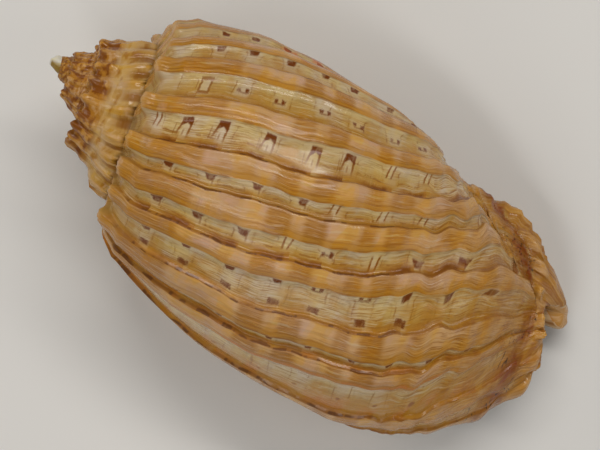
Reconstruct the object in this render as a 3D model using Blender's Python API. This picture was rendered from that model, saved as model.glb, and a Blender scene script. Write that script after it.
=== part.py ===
"""Harp shell: one grown, right-handed gastropod shell resting on its aperture.

The shell is a single closed body. A profile (suture, ramp, spined shoulder,
swollen wall, neck, siphonal ridge, end of the canal) is swept backwards round
the coiling axis from the outer lip to the apex. Each whorl starts on the lower
wall of the one before it, so the whorls are welded along a spiral suture. The
last whorl is hollow: its wall turns in at the lip and runs back inside, down to
the smooth pillar (columella), and the hollow ends blind most of a turn in.

Frame of the finished part: +X runs from the apex to the canal end, -Y is the
outer-lip side, +Z is up over the ribbed back, and the shell stands on z = 0.
"""

import math

import bmesh
import bpy
import numpy as np
from mathutils import Matrix

# ---------------------------------------------------------------- dimensions
SHELL_LENGTH = 0.056          # m, apex to canal end along the coiling axis
PARTS = 590.5                 # the tables below count this many parts to that length
CANAL_END = 580.0             # parts, height of the canal end from the base of the nub
WHORL_RATIO = 2.24            # growth of the spire per full turn
START_TURN = 5.6              # turns from the lip side back to the apex
WALL = 7.5                    # parts, wall of the last whorl at the lip
HOLLOW_DEPTH = 285.0          # deg, how far the hollow runs in at the shoulder
HOLLOW_DEPTH_CANAL = 106.0    # deg, the same at the canal end
PITCH_DEG = 8.21              # rest pose: apex lifted
ROLL_DEG = 2.63               # rest pose: turn about the axis
COLOUR = (0.72, 0.47, 0.25, 1.0)

# growth lines, in degrees back from the lip side. One weld period holds 18 ribs
PERIOD = 338.0
LIP_PSI = -28.0
# (old edge of the rib, width of the rib)
RIBS = (
    (-14.5, 11.5), (4.0, 9.0), (29.0, 6.5), (42.3, 9.0), (60.0, 6.2),
    (76.9, 9.0), (91.3, 8.3), (112.2, 8.0), (134.2, 9.0), (151.5, 6.5),
    (172.5, 9.0), (191.5, 7.0), (210.5, 8.5), (229.0, 6.5), (247.5, 8.0),
    (266.0, 7.0), (285.0, 7.5), (303.5, 7.0),
)
RIB_HEIGHT = 4.6              # parts, on the last whorl
RIB_RISE = 3.2                # deg, gentle young side of a rib
RIB_STEP = 0.9                # deg, steep old side of a rib
SPINE = 5.5                   # parts, extra height of a rib on the shoulder
SCALE = 3.2                   # parts, extra height of a rib on the canal ridge
NUB_LEAN = 3.5                # parts, sideways lean of the first whorls
NUB_RISE = 6.0                # parts, how far they stand up at the tip
GLAZE = 1.6                   # parts, raised margin of the inner-lip layer
LUMP = (367.0, 10.0, 0.240, 0.036, 8.0)   # deg, deg, station, station, parts: callus beside the lip's upper end
# blunt teeth of the lip's front half: (station, width, height in parts)
LIP_TEETH = ((0.605, 0.018, 1.0), (0.665, 0.017, 1.6), (0.742, 0.013, 2.0),
             (0.790, 0.010, 4.5), (0.845, 0.013, 4.5), (0.955, 0.020, 2.5))
GLAZE_RIDGE = 4.0             # deg, the margin's crest behind its edge

# ------------------------------------------------------------- profile table
# Stations down the profile: suture 0, shoulder 0.10, next suture 0.30, widest
# 0.42, neck 0.80, canal ridge 0.86, end 1.0. Each row is (radius, height below
# the apex) in parts, at a number of turns back from the lip side.
STATION = np.array([0.10, 0.145, 0.21, 0.30, 0.42, 0.54, 0.65, 0.74, 0.80, 0.86, 0.93, 0.965, 1.0])
PROFILE = {
    -0.10: ((133, 119), (148, 137), (160, 166), (183, 238), (194, 320), (197, 400), (189, 458), (168, 500), (128, 550), (88, 572), (68, 577), (63, 579), (57, 580)),
    0.00: ((128, 118), (143, 137), (156, 166), (180, 238), (193, 320), (196, 400), (186, 458), (166, 500), (125, 548), (84, 569), (65, 574), (59, 576), (53, 577)),
    0.25: ((104, 104), (119, 118), (131, 142), (145, 200), (150, 270), (143, 345), (126, 415), (90, 488), (35, 538), (34, 544), (30, 549), (27, 552), (24, 554)),
    0.50: ((90, 92), (100, 108), (109, 138), (116, 180), (117, 232), (111, 300), (102, 355), (84, 391), (74, 417), (79, 443), (72, 497), (58, 532), (38, 560)),
    0.75: ((70, 72), (78, 85), (84, 103), (89, 136), (88, 180), (80, 240), (68, 300), (56, 352), (47, 395), (43, 440), (31, 508), (25, 548), (17, 578)),
    1.00: ((60, 52), (69, 65), (77, 81), (92, 111), (93, 137), (82, 176), (62, 225), (42, 276), (29, 330), (22, 400), (18, 490), (17, 540), (16, 583)),
    1.25: ((50, 42.5), (57, 53), (64, 67), (76, 92), (78, 112), (71, 145), (55, 190), (36, 235), (23, 292), (17, 370), (13, 480), (9, 524), (5, 566)),
    1.50: ((41, 35), (47, 44), (53, 56), (60, 82), (62, 98), (57, 125), (44, 160), (28, 200), (19, 255), (15, 340), (12, 470), (8, 519), (5, 566)),
    1.75: ((33, 29), (38, 37), (43, 46), (49, 63), (51, 76), (46, 99), (35, 130), (22, 166), (16, 215), (13, 320), (11, 460), (8, 514), (5, 566)),
    2.00: ((27, 24), (31, 30), (35, 37), (38.5, 46.5), (40, 60), (36, 80), (28, 105), (18, 140), (14, 190), (12, 300), (10, 450), (7, 509), (5, 566)),
}
TURN = np.array(sorted(PROFILE))
TABLE = np.array([PROFILE[t] for t in TURN], float)

# first whorls, rounded into the smooth nub: (turn, shoulder r, a, suture r, a)
NUB = np.array((
    (3.25, 11.0, 12.0, 13.8, 19.4), (3.75, 8.8, 10.4, 10.3, 14.2),
    (4.25, 7.9, 5.5, 8.6, 9.6), (4.75, 6.0, 1.5, 7.2, 4.6),
    (5.25, 2.6, -0.8, 3.6, 0.2), (START_TURN, 0.0, -1.2, 0.0, -1.2)))

# ----------------------------------------------------------------- resolution
ROWS_UPPER = (0.0, 0.05, 0.10, 0.145, 0.235, 0.30)
ROWS_LOWER = (0.34, 0.43, 0.52, 0.60, 0.665, 0.705, 0.742, 0.767, 0.79, 0.815, 0.845, 0.90, 0.955, 1.0)
ROWS_INNER = (0.0, 0.07, 0.13, 0.22, 0.36, 0.52, 0.62, 0.70, 0.75, 0.785, 0.815, 0.86, 0.93, 1.0)
HOLLOW_COLS = 40


def cubic(x, y, xi):
    """Monotone cubic through (x, y) along the first axis of y."""
    y = np.asarray(y, float)
    xi = np.asarray(xi, float)
    h = np.diff(x)
    hh = h.reshape((-1,) + (1,) * (y.ndim - 1))
    d = np.diff(y, axis=0) / hh
    m = np.zeros_like(y)
    w1, w2 = 2 * hh[1:] + hh[:-1], hh[1:] + 2 * hh[:-1]
    flat = d[:-1] * d[1:] <= 0
    a, b = np.where(flat, 1.0, d[:-1]), np.where(flat, 1.0, d[1:])
    m[1:-1] = np.where(flat, 0.0, (w1 + w2) / (w1 / a + w2 / b))
    m[0], m[-1] = d[0], d[-1]
    k = np.clip(np.searchsorted(x, xi, side="right") - 1, 0, len(x) - 2)
    shape = xi.shape + (1,) * (y.ndim - 1)
    s, hk = ((xi - x[k]) / h[k]).reshape(shape), h[k].reshape(shape)
    s2, s3 = s * s, s * s * s
    return ((2 * s3 - 3 * s2 + 1) * y[k] + (s3 - 2 * s2 + s) * hk * m[k]
            + (3 * s2 - 2 * s3) * y[k + 1] + (s3 - s2) * hk * m[k + 1])


def smooth(x):
    x = np.clip(x, 0.0, 1.0)
    return x * x * (3 - 2 * x)


def spire(t):
    """Shoulder and suture-line (r, a, r, a) of the whorls above the last two."""
    q = WHORL_RATIO ** (-(t - 2.0))
    s = np.stack([27 * q, 4 + 20 * q, 38.5 * q, 4 + 42.5 * q], -1)
    n = cubic(NUB[:, 0], NUB[:, 1:], np.clip(t, NUB[0, 0], START_TURN))
    w = smooth((t - 2.75) / 0.5)[..., None]
    return (1 - w) * s + w * n


def controls(t):
    """The 13 profile points (r, a) at turn t."""
    c = np.exp(cubic(TURN, np.log(TABLE), np.clip(t, TURN[0], TURN[-1])))
    k = t > 2.0
    if k.any():
        e = spire(t[k])
        for i, f in enumerate((0.0, 0.28, 0.62, 1.0)):
            c[k, i, 0] = e[:, 0] + (e[:, 2] - e[:, 0]) * math.sin(f * math.pi / 2)
            c[k, i, 1] = e[:, 1] + (e[:, 3] - e[:, 1]) * f
    return c


def suture(t):
    """Where the next whorl attaches: (r, a) on the wall at turn t."""
    c = controls(t)[:, 3].copy()
    c[t >= START_TURN] = (0.0, -1.2)
    return c


def base(t, v):
    """Smooth profile surface: radius and height at turn t, station v."""
    t, v = np.broadcast_arrays(np.asarray(t, float), np.asarray(v, float))
    shape = t.shape
    t, v = t.ravel(), v.ravel()
    s0, c = suture(t + 1.0), controls(t)
    pts = np.zeros((15, len(t), 2))
    pts[0] = s0
    pts[1] = s0 + (c[:, 0] - s0) * 0.5
    pts[1, :, 1] += 0.03 * (c[:, 0, 0] - s0[:, 0])
    pts[2:] = np.moveaxis(c, 1, 0)
    x = np.concatenate([[0, 0.05], STATION])
    h = np.diff(x)[:, None, None]
    d = np.diff(pts, axis=0) / h
    m = np.zeros_like(pts)
    w1, w2 = 2 * h[1:] + h[:-1], h[1:] + 2 * h[:-1]
    flat = d[:-1] * d[1:] <= 0
    a, b = np.where(flat, 1.0, d[:-1]), np.where(flat, 1.0, d[1:])
    m[1:-1] = np.where(flat, 0.0, (w1 + w2) / (w1 / a + w2 / b))
    m[0], m[-1] = d[0], d[-1]
    k = np.clip(np.searchsorted(x, v, side="right") - 1, 0, len(x) - 2)
    n = np.arange(len(v))
    hk = (x[k + 1] - x[k])[:, None]
    s = (v - x[k])[:, None] / hk
    s2, s3 = s * s, s * s * s
    out = ((2 * s3 - 3 * s2 + 1) * pts[k, n] + (s3 - 2 * s2 + s) * hk * m[k, n]
           + (3 * s2 - 2 * s3) * pts[k + 1, n] + (s3 - s2) * hk * m[k + 1, n])
    return out[:, 0].reshape(shape), out[:, 1].reshape(shape)


def place(t, v):
    """Base surface in space, in parts: x down the axis, -y lip side, z up."""
    r, a = base(t, v)
    ph = 2 * np.pi * np.asarray(t)
    # the first whorls lean a little towards the side away from the lip
    lean = NUB_LEAN * smooth((62.0 - a) / 63.2)
    rise = NUB_RISE * smooth((42.0 - a) / 43.2)
    return np.stack([a - rise, lean - r * np.cos(ph), r * np.sin(ph)], -1)


def normal(t, v):
    """Outward unit normal of the base surface."""
    t, v = np.broadcast_arrays(np.asarray(t, float), np.asarray(v, float))
    e, f = 0.004, 0.006
    dt = place(t + e, v) - place(t - e, v)
    v0, v1 = np.clip(v - f, 0, 1), np.clip(v + f, 0, 1)
    dv = place(t, v1) - place(t, v0)
    n = np.cross(dv, dt)
    ln = np.linalg.norm(n, axis=-1, keepdims=True)
    n = n / np.maximum(ln, 1e-9)
    ph = 2 * np.pi * t
    radial = np.stack([np.zeros_like(ph), -np.cos(ph), np.sin(ph)], -1)
    bad = ln[..., 0] < 1e-6
    n[bad] = radial[bad]
    return n


# -------------------------------------------------------------- growth lines
SHEAR_V = np.array([0.0, 0.06, 0.10, 0.15, 0.20, 0.24, 0.30, 0.39, 0.45, 0.54, 0.60, 0.65, 0.69, 0.73, 0.78, 0.84, 1.0])
SHEAR = np.array([-18.0, -12.5, -8.5, -6.0, -3.0, 0, 4, 7.5, 10.5, 16, 22, 28, 36, 47, 57, 64, 73])


def azimuth(psi, v):
    """Degrees round the axis of growth line psi at station v: the lines lag behind towards the canal, and less so near the lip."""
    s = np.interp(v, SHEAR_V, SHEAR)
    k = 0.40 + 0.60 * smooth((psi - 30.0) / 42.0)
    low = np.maximum(s - 11.0, 0.0)
    return psi + np.minimum(s, 11.0) + k * low


def rib_phase(psi):
    """Rib height 0..1 at growth line psi: steep on the old side, flat on top, easy on the young side."""
    p = (psi - LIP_PSI) % PERIOD + LIP_PSI
    h = np.zeros_like(p)
    for edge, width in RIBS:
        top = smooth((p - (edge - width - RIB_RISE)) / RIB_RISE)
        drop = smooth((edge + RIB_STEP - p) / RIB_STEP)
        h = np.maximum(h, np.minimum(top, drop) * (1.0 if width > 6.2 else 0.85))
    wrap = smooth((p - (PERIOD + RIBS[0][0] - RIBS[0][1] - RIB_RISE)) / RIB_RISE)
    return np.maximum(h, wrap)


def edge_of_glaze(v):
    """Azimuth of the margin of the inner-lip layer on the underside."""
    return np.interp(v, [0.30, 0.36, 0.45, 0.60, 0.75, 0.86, 1.0], [318.0, 296.0, 280.0, 262.0, 248.0, 236.0, 226.0])


def glaze(az, v):
    """0..1 where the glossy inner-lip layer covers the ribs: below the suture, from its edge on the underside into the opening."""
    inside = smooth((az - edge_of_glaze(v)) / 5.0) * (az < 700.0)
    return np.where(v > 0.302, inside, inside * smooth((v - 0.22) / 0.07) * (az < 345.0))


def scallop(psi, v):
    """Teeth along the front half of the lip, in parts."""
    near = smooth((-4.0 - psi) / 14.0)
    out = 0.0
    for at, width, height in LIP_TEETH:
        out = out + height * np.exp(-((v - at) / width) ** 2)
    return near * out


def relief(psi, v):
    """Height of the sculpture over the base surface, in parts."""
    t = azimuth(psi, v) / 360.0
    size = np.where(t < 1.0, 1.0 - 0.25 * np.clip(t, 0, 1), 0.75 * WHORL_RATIO ** (-(np.maximum(t, 1.0) - 1.0)))
    down = np.interp(v, [0.0, 0.03, 0.08, 0.10, 0.125, 0.17, 0.60, 0.70, 0.78, 0.81, 0.86, 0.93, 1.0],
                     [0.0, 0.55, 1.1, 1.0, 0.95, 1.0, 1.0, 0.9, 0.5, 0.15, 0.7, 0.3, 0.0])
    spine = np.exp(-((v - 0.104) / 0.022) ** 2)
    h = rib_phase(psi)
    scale = np.exp(-((v - 0.865) / 0.028) ** 2)
    out = size * h * (RIB_HEIGHT * down + SPINE * spine + SCALE * scale)
    # glaze buries the ribs beside the aperture, and the nub is smooth
    cover = glaze(360.0 * t, v)
    lower = np.where((t > 1.0) & (v <= 0.302), 0.55 * smooth((v - 0.17) / 0.08), 0.0)
    nub = smooth((3.9 - t) / 0.6)
    edge = GLAZE * np.exp(-((360.0 * t - GLAZE_RIDGE - edge_of_glaze(v)) / 7.0) ** 2) * (v > 0.302) * (t < 1.05)
    lump = LUMP[4] * np.exp(-((360.0 * t - LUMP[0]) / LUMP[1]) ** 2 - ((v - LUMP[2]) / LUMP[3]) ** 2) * (v <= 0.302)
    return out * (1 - cover) * (1 - lower) * nub + edge + lump + scallop(psi, v)


def surface(psi, v):
    """Sculptured outer surface, in parts."""
    psi, v = np.broadcast_arrays(np.asarray(psi, float), np.asarray(v, float))
    t = azimuth(psi, v) / 360.0
    t = np.minimum(t, START_TURN)
    return place(t, v) + normal(t, v) * relief(psi, v)[..., None]


# ------------------------------------------------------------------- meshing
def period_columns():
    """Growth lines of one weld period, four to a rib, set on its edges."""
    out = []
    for i, (edge, width) in enumerate(RIBS):
        if i:
            out.append(edge - width - RIB_RISE)
        out.append(edge - width if i else LIP_PSI)
        if width > 8.2 or not i:
            out.append(edge - 0.5 * width)
        out += [edge, edge + RIB_STEP]
    first = PERIOD + RIBS[0][0] - RIBS[0][1] - RIB_RISE
    out.append(first)
    return np.array(sorted(out))


class Mesh:
    def __init__(self):
        self.points, self.index, self.faces = [], {}, []

    def add(self, p):
        key = tuple(np.round(p, 5))
        if key not in self.index:
            self.index[key] = len(self.points)
            self.points.append(tuple(float(c) for c in p))
        return self.index[key]

    def ids(self, pts):
        flat = [self.add(p) for p in pts.reshape(-1, 3)]
        return np.array(flat).reshape(pts.shape[:-1])

    def tri(self, *f):
        keep = [f[i] for i in range(len(f)) if f[i] != f[i - 1]]
        if len(set(keep)) >= 3:
            self.faces.append(keep)

    def quad(self, a, b, c, d):
        """Split along the shorter diagonal."""
        p = [np.array(self.points[i]) for i in (a, b, c, d)]
        if np.linalg.norm(p[0] - p[2]) <= np.linalg.norm(p[1] - p[3]):
            self.tri(a, b, c)
            self.tri(a, c, d)
        else:
            self.tri(a, b, d)
            self.tri(b, c, d)

    def grid(self, g, flip=False):
        for i in range(g.shape[0] - 1):
            for j in range(g.shape[1] - 1):
                q = (g[i, j], g[i + 1, j], g[i + 1, j + 1], g[i, j + 1])
                self.quad(*(q[::-1] if flip else q))

    def zip(self, one, two, flip=False):
        """Triangles between two polylines that run the same way."""
        i = j = 0
        pt = lambda k: np.array(self.points[k])
        while i < len(one) - 1 or j < len(two) - 1:
            a = np.linalg.norm(pt(one[min(i + 1, len(one) - 1)]) - pt(two[j])) if i < len(one) - 1 else 1e9
            b = np.linalg.norm(pt(two[min(j + 1, len(two) - 1)]) - pt(one[i])) if j < len(two) - 1 else 1e9
            if a <= b:
                f = (one[i], one[i + 1], two[j])
                i += 1
            else:
                f = (one[i], two[j + 1], two[j])
                j += 1
            self.tri(*(f[::-1] if flip else f))


def build_points():
    """All faces of the shell, in parts, before it is set down."""
    m = Mesh()
    cols = period_columns()
    n = len(cols)
    turns = int(math.ceil((START_TURN * 360 + 60) / PERIOD)) + 1
    psi = np.concatenate([cols + PERIOD * k for k in range(turns)])
    upper, lower = np.array(ROWS_UPPER), np.array(ROWS_LOWER)
    rows = np.concatenate([upper, lower])
    j1 = len(upper) - 1

    # outer surface, all whorls, upper rows; row 0 is the suture line one
    # period further back
    last = int(np.searchsorted(psi, START_TURN * 360 + 20)) + 1
    psi = psi[:last]
    up = surface(psi[:, None], upper[None, :])
    pole = np.array([-1.2 - NUB_RISE, NUB_LEAN, 0.0])
    for c in range(last):
        up[c, 0] = up[c + n, j1] if c + n < last else pole
        if azimuth(psi[c], 0.3) / 360.0 >= START_TURN:
            up[c, :] = pole
    ids = m.ids(up)
    m.grid(ids)

    # last whorl, lower rows
    low = surface(psi[:n + 1, None], lower[None, :])
    full = np.concatenate([ids[:n + 1, j1:], m.ids(low)], 1)
    m.grid(full)

    # hollow: parietal wall and pillar, then the inside of the outer wall
    u = np.linspace(0.0, 1.0, HOLLOW_COLS + 1) ** 1.0
    cap = np.interp(lower, [0.34, 0.5, 0.62, 0.8, 1.0],
                    [HOLLOW_DEPTH, HOLLOW_DEPTH - 10, 205.0, 118.0, HOLLOW_DEPTH_CANAL])
    start = azimuth(PERIOD + LIP_PSI, lower)
    az = start + u[:, None] * (cap + 360.0 - start)
    tt = az / 360.0
    floor_pts = place(tt, lower[None, :] + 0 * tt)
    floor_ids = m.ids(floor_pts[1:])
    floor_ids = np.concatenate([full[n:n + 1, 1:], floor_ids], 0)
    m.grid(floor_ids)

    vi = np.array(ROWS_INNER)
    lip = azimuth(LIP_PSI, vi)
    azi = lip + u[:, None] * (np.concatenate([[cap[0]], cap[1:]]) - lip)
    ti = azi / 360.0
    vv = vi[None, :] + 0 * ti
    size = WHORL_RATIO ** (-np.clip(ti, 0, 1))
    thick = WALL * size * np.interp(vi, [0, 0.6, 0.8, 1.0], [1.0, 1.0, 0.62, 0.5])[None, :]
    inner = place(ti, vv) - normal(ti, vv) * thick[..., None]
    inner_ids = m.ids(inner[:, 1:])
    inner_ids = np.concatenate([floor_ids[:, :1], inner_ids], 1)
    m.grid(inner_ids, flip=True)

    # blind end
    m.grid(np.stack([floor_ids[-1], inner_ids[-1]], 0))
    # lip rim
    m.zip(list(np.concatenate([ids[0, :j1], full[0]])), list(inner_ids[0]))

    # foot of the wall: outer edge against inner edge, then the pillar's end
    edge = azimuth(psi[:n + 1], 1.0)
    att = int(np.searchsorted(edge, HOLLOW_DEPTH_CANAL))
    m.zip(list(full[:att + 1, -1]), list(inner_ids[:, -1]), flip=True)
    loop = list(full[att:, -1]) + list(floor_ids[1:, -1]) + [inner_ids[-1, -1]]
    tip = m.add((CANAL_END, 0.0, 0.0))
    for i, k in enumerate(loop):
        m.tri(tip, loop[(i + 1) % len(loop)], k)
    return m


def to_object(m):
    pts = np.array(m.points) * (SHELL_LENGTH / PARTS)
    rot = (Matrix.Rotation(math.radians(ROLL_DEG), 3, "X") @ Matrix.Rotation(math.radians(PITCH_DEG), 3, "Y"))
    pts = pts @ np.array(rot).T
    lo, hi = pts.min(0), pts.max(0)
    pts -= np.array([(lo[0] + hi[0]) / 2, (lo[1] + hi[1]) / 2, lo[2]])
    me = bpy.data.meshes.new("shell")
    bm = bmesh.new()
    vs = [bm.verts.new(p) for p in pts]
    for f in m.faces:
        try:
            bm.faces.new([vs[i] for i in f])
        except ValueError:
            pass
    lone = [v for v in bm.verts if not v.link_faces]
    bmesh.ops.delete(bm, geom=lone, context="VERTS")
    bmesh.ops.recalc_face_normals(bm, faces=bm.faces)
    if bm.calc_volume(signed=True) < 0:
        bmesh.ops.reverse_faces(bm, faces=bm.faces)
    bm.to_mesh(me)
    bm.free()
    ob = bpy.data.objects.new("shell", me)
    bpy.context.scene.collection.objects.link(ob)
    mat = bpy.data.materials.new("shell_aragonite")
    mat.use_nodes = True
    bsdf = mat.node_tree.nodes["Principled BSDF"]
    bsdf.inputs["Base Color"].default_value = COLOUR
    bsdf.inputs["Roughness"].default_value = 0.38
    me.materials.append(mat)
    mat.diffuse_color = COLOUR
    return ob


for o in list(bpy.data.objects):
    bpy.data.objects.remove(o, do_unlink=True)
shell = to_object(build_points())
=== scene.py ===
"""Harp shell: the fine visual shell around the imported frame, its procedural
materials, a plain floor, soft studio lights and the camera."""
import math

import bmesh
import bpy
import numpy as np
from mathutils import Matrix, Vector


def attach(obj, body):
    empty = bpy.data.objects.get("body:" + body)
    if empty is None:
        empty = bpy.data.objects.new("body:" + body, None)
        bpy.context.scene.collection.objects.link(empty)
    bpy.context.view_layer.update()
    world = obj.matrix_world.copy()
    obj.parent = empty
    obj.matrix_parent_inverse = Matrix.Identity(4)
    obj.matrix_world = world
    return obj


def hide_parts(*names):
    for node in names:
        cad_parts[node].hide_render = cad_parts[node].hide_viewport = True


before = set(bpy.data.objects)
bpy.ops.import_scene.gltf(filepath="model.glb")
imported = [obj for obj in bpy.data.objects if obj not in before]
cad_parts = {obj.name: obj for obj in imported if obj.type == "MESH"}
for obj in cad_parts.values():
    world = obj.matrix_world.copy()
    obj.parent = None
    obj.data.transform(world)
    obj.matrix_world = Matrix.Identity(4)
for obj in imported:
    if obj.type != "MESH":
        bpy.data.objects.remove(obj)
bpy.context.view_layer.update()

# ---------------------------------------------------------------- dimensions
SHELL_LENGTH = 0.056          # m, apex to canal end along the coiling axis
PARTS = 590.5                 # the tables below count this many parts to that length
CANAL_END = 580.0             # parts, height of the canal end from the base of the nub
WHORL_RATIO = 2.24            # growth of the spire per full turn
START_TURN = 5.6              # turns from the lip side back to the apex
WALL = 7.5                    # parts, wall of the last whorl at the lip
HOLLOW_DEPTH = 285.0          # deg, how far the hollow runs in at the shoulder
HOLLOW_DEPTH_CANAL = 106.0    # deg, the same at the canal end
PITCH_DEG = 8.21              # rest pose: apex lifted
ROLL_DEG = 2.63               # rest pose: turn about the axis

# growth lines, in degrees back from the lip side. One weld period holds 18 ribs
PERIOD = 338.0
LIP_PSI = -28.0
# (old edge of the rib, width of the rib)
RIBS = (
    (-14.5, 11.5), (4.0, 9.0), (29.0, 6.5), (42.3, 9.0), (60.0, 6.2),
    (76.9, 9.0), (91.3, 8.3), (112.2, 8.0), (134.2, 9.0), (151.5, 6.5),
    (172.5, 9.0), (191.5, 7.0), (210.5, 8.5), (229.0, 6.5), (247.5, 8.0),
    (266.0, 7.0), (285.0, 7.5), (303.5, 7.0),
)
RIB_HEIGHT = 4.6              # parts, on the last whorl
RIB_RISE = 3.2                # deg, gentle young side of a rib
RIB_STEP = 0.9                # deg, steep old side of a rib
SPINE = 5.5                   # parts, extra height of a rib on the shoulder
SCALE = 3.2                   # parts, extra height of a rib on the canal ridge
NUB_LEAN = 3.5                # parts, sideways lean of the first whorls
NUB_RISE = 6.0                # parts, how far they stand up at the tip
GLAZE = 1.6                   # parts, raised margin of the inner-lip layer
LUMP = (367.0, 10.0, 0.240, 0.036, 8.0)   # deg, deg, station, station, parts: callus beside the lip's upper end
# blunt teeth of the lip's front half: (station, width, height in parts)
LIP_TEETH = ((0.605, 0.018, 1.0), (0.665, 0.017, 1.6), (0.742, 0.013, 2.0),
             (0.790, 0.010, 4.5), (0.845, 0.013, 4.5), (0.955, 0.020, 2.5))
GLAZE_RIDGE = 4.0             # deg, the margin's crest behind its edge

# ------------------------------------------------------------- profile table
# Stations down the profile: suture 0, shoulder 0.10, next suture 0.30, widest
# 0.42, neck 0.80, canal ridge 0.86, end 1.0. Each row is (radius, height below
# the apex) in parts, at a number of turns back from the lip side.
STATION = np.array([0.10, 0.145, 0.21, 0.30, 0.42, 0.54, 0.65, 0.74, 0.80, 0.86, 0.93, 0.965, 1.0])
PROFILE = {
    -0.10: ((133, 119), (148, 137), (160, 166), (183, 238), (194, 320), (197, 400), (189, 458), (168, 500), (128, 550), (88, 572), (68, 577), (63, 579), (57, 580)),
    0.00: ((128, 118), (143, 137), (156, 166), (180, 238), (193, 320), (196, 400), (186, 458), (166, 500), (125, 548), (84, 569), (65, 574), (59, 576), (53, 577)),
    0.25: ((104, 104), (119, 118), (131, 142), (145, 200), (150, 270), (143, 345), (126, 415), (90, 488), (35, 538), (34, 544), (30, 549), (27, 552), (24, 554)),
    0.50: ((90, 92), (100, 108), (109, 138), (116, 180), (117, 232), (111, 300), (102, 355), (84, 391), (74, 417), (79, 443), (72, 497), (58, 532), (38, 560)),
    0.75: ((70, 72), (78, 85), (84, 103), (89, 136), (88, 180), (80, 240), (68, 300), (56, 352), (47, 395), (43, 440), (31, 508), (25, 548), (17, 578)),
    1.00: ((60, 52), (69, 65), (77, 81), (92, 111), (93, 137), (82, 176), (62, 225), (42, 276), (29, 330), (22, 400), (18, 490), (17, 540), (16, 583)),
    1.25: ((50, 42.5), (57, 53), (64, 67), (76, 92), (78, 112), (71, 145), (55, 190), (36, 235), (23, 292), (17, 370), (13, 480), (9, 524), (5, 566)),
    1.50: ((41, 35), (47, 44), (53, 56), (60, 82), (62, 98), (57, 125), (44, 160), (28, 200), (19, 255), (15, 340), (12, 470), (8, 519), (5, 566)),
    1.75: ((33, 29), (38, 37), (43, 46), (49, 63), (51, 76), (46, 99), (35, 130), (22, 166), (16, 215), (13, 320), (11, 460), (8, 514), (5, 566)),
    2.00: ((27, 24), (31, 30), (35, 37), (38.5, 46.5), (40, 60), (36, 80), (28, 105), (18, 140), (14, 190), (12, 300), (10, 450), (7, 509), (5, 566)),
}
TURN = np.array(sorted(PROFILE))
TABLE = np.array([PROFILE[t] for t in TURN], float)

# first whorls, rounded into the smooth nub: (turn, shoulder r, a, suture r, a)
NUB = np.array((
    (3.25, 11.0, 12.0, 13.8, 19.4), (3.75, 8.8, 10.4, 10.3, 14.2),
    (4.25, 7.9, 5.5, 8.6, 9.6), (4.75, 6.0, 1.5, 7.2, 4.6),
    (5.25, 2.6, -0.8, 3.6, 0.2), (START_TURN, 0.0, -1.2, 0.0, -1.2)))


def cubic(x, y, xi):
    """Monotone cubic through (x, y) along the first axis of y."""
    y = np.asarray(y, float)
    xi = np.asarray(xi, float)
    h = np.diff(x)
    hh = h.reshape((-1,) + (1,) * (y.ndim - 1))
    d = np.diff(y, axis=0) / hh
    m = np.zeros_like(y)
    w1, w2 = 2 * hh[1:] + hh[:-1], hh[1:] + 2 * hh[:-1]
    flat = d[:-1] * d[1:] <= 0
    a, b = np.where(flat, 1.0, d[:-1]), np.where(flat, 1.0, d[1:])
    m[1:-1] = np.where(flat, 0.0, (w1 + w2) / (w1 / a + w2 / b))
    m[0], m[-1] = d[0], d[-1]
    k = np.clip(np.searchsorted(x, xi, side="right") - 1, 0, len(x) - 2)
    shape = xi.shape + (1,) * (y.ndim - 1)
    s, hk = ((xi - x[k]) / h[k]).reshape(shape), h[k].reshape(shape)
    s2, s3 = s * s, s * s * s
    return ((2 * s3 - 3 * s2 + 1) * y[k] + (s3 - 2 * s2 + s) * hk * m[k]
            + (3 * s2 - 2 * s3) * y[k + 1] + (s3 - s2) * hk * m[k + 1])


def smooth(x):
    x = np.clip(x, 0.0, 1.0)
    return x * x * (3 - 2 * x)


def spire(t):
    """Shoulder and suture-line (r, a, r, a) of the whorls above the last two."""
    q = WHORL_RATIO ** (-(t - 2.0))
    s = np.stack([27 * q, 4 + 20 * q, 38.5 * q, 4 + 42.5 * q], -1)
    n = cubic(NUB[:, 0], NUB[:, 1:], np.clip(t, NUB[0, 0], START_TURN))
    w = smooth((t - 2.75) / 0.5)[..., None]
    return (1 - w) * s + w * n


def controls(t):
    """The 13 profile points (r, a) at turn t."""
    c = np.exp(cubic(TURN, np.log(TABLE), np.clip(t, TURN[0], TURN[-1])))
    k = t > 2.0
    if k.any():
        e = spire(t[k])
        for i, f in enumerate((0.0, 0.28, 0.62, 1.0)):
            c[k, i, 0] = e[:, 0] + (e[:, 2] - e[:, 0]) * math.sin(f * math.pi / 2)
            c[k, i, 1] = e[:, 1] + (e[:, 3] - e[:, 1]) * f
    return c


def suture(t):
    """Where the next whorl attaches: (r, a) on the wall at turn t."""
    c = controls(t)[:, 3].copy()
    c[t >= START_TURN] = (0.0, -1.2)
    return c


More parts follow.
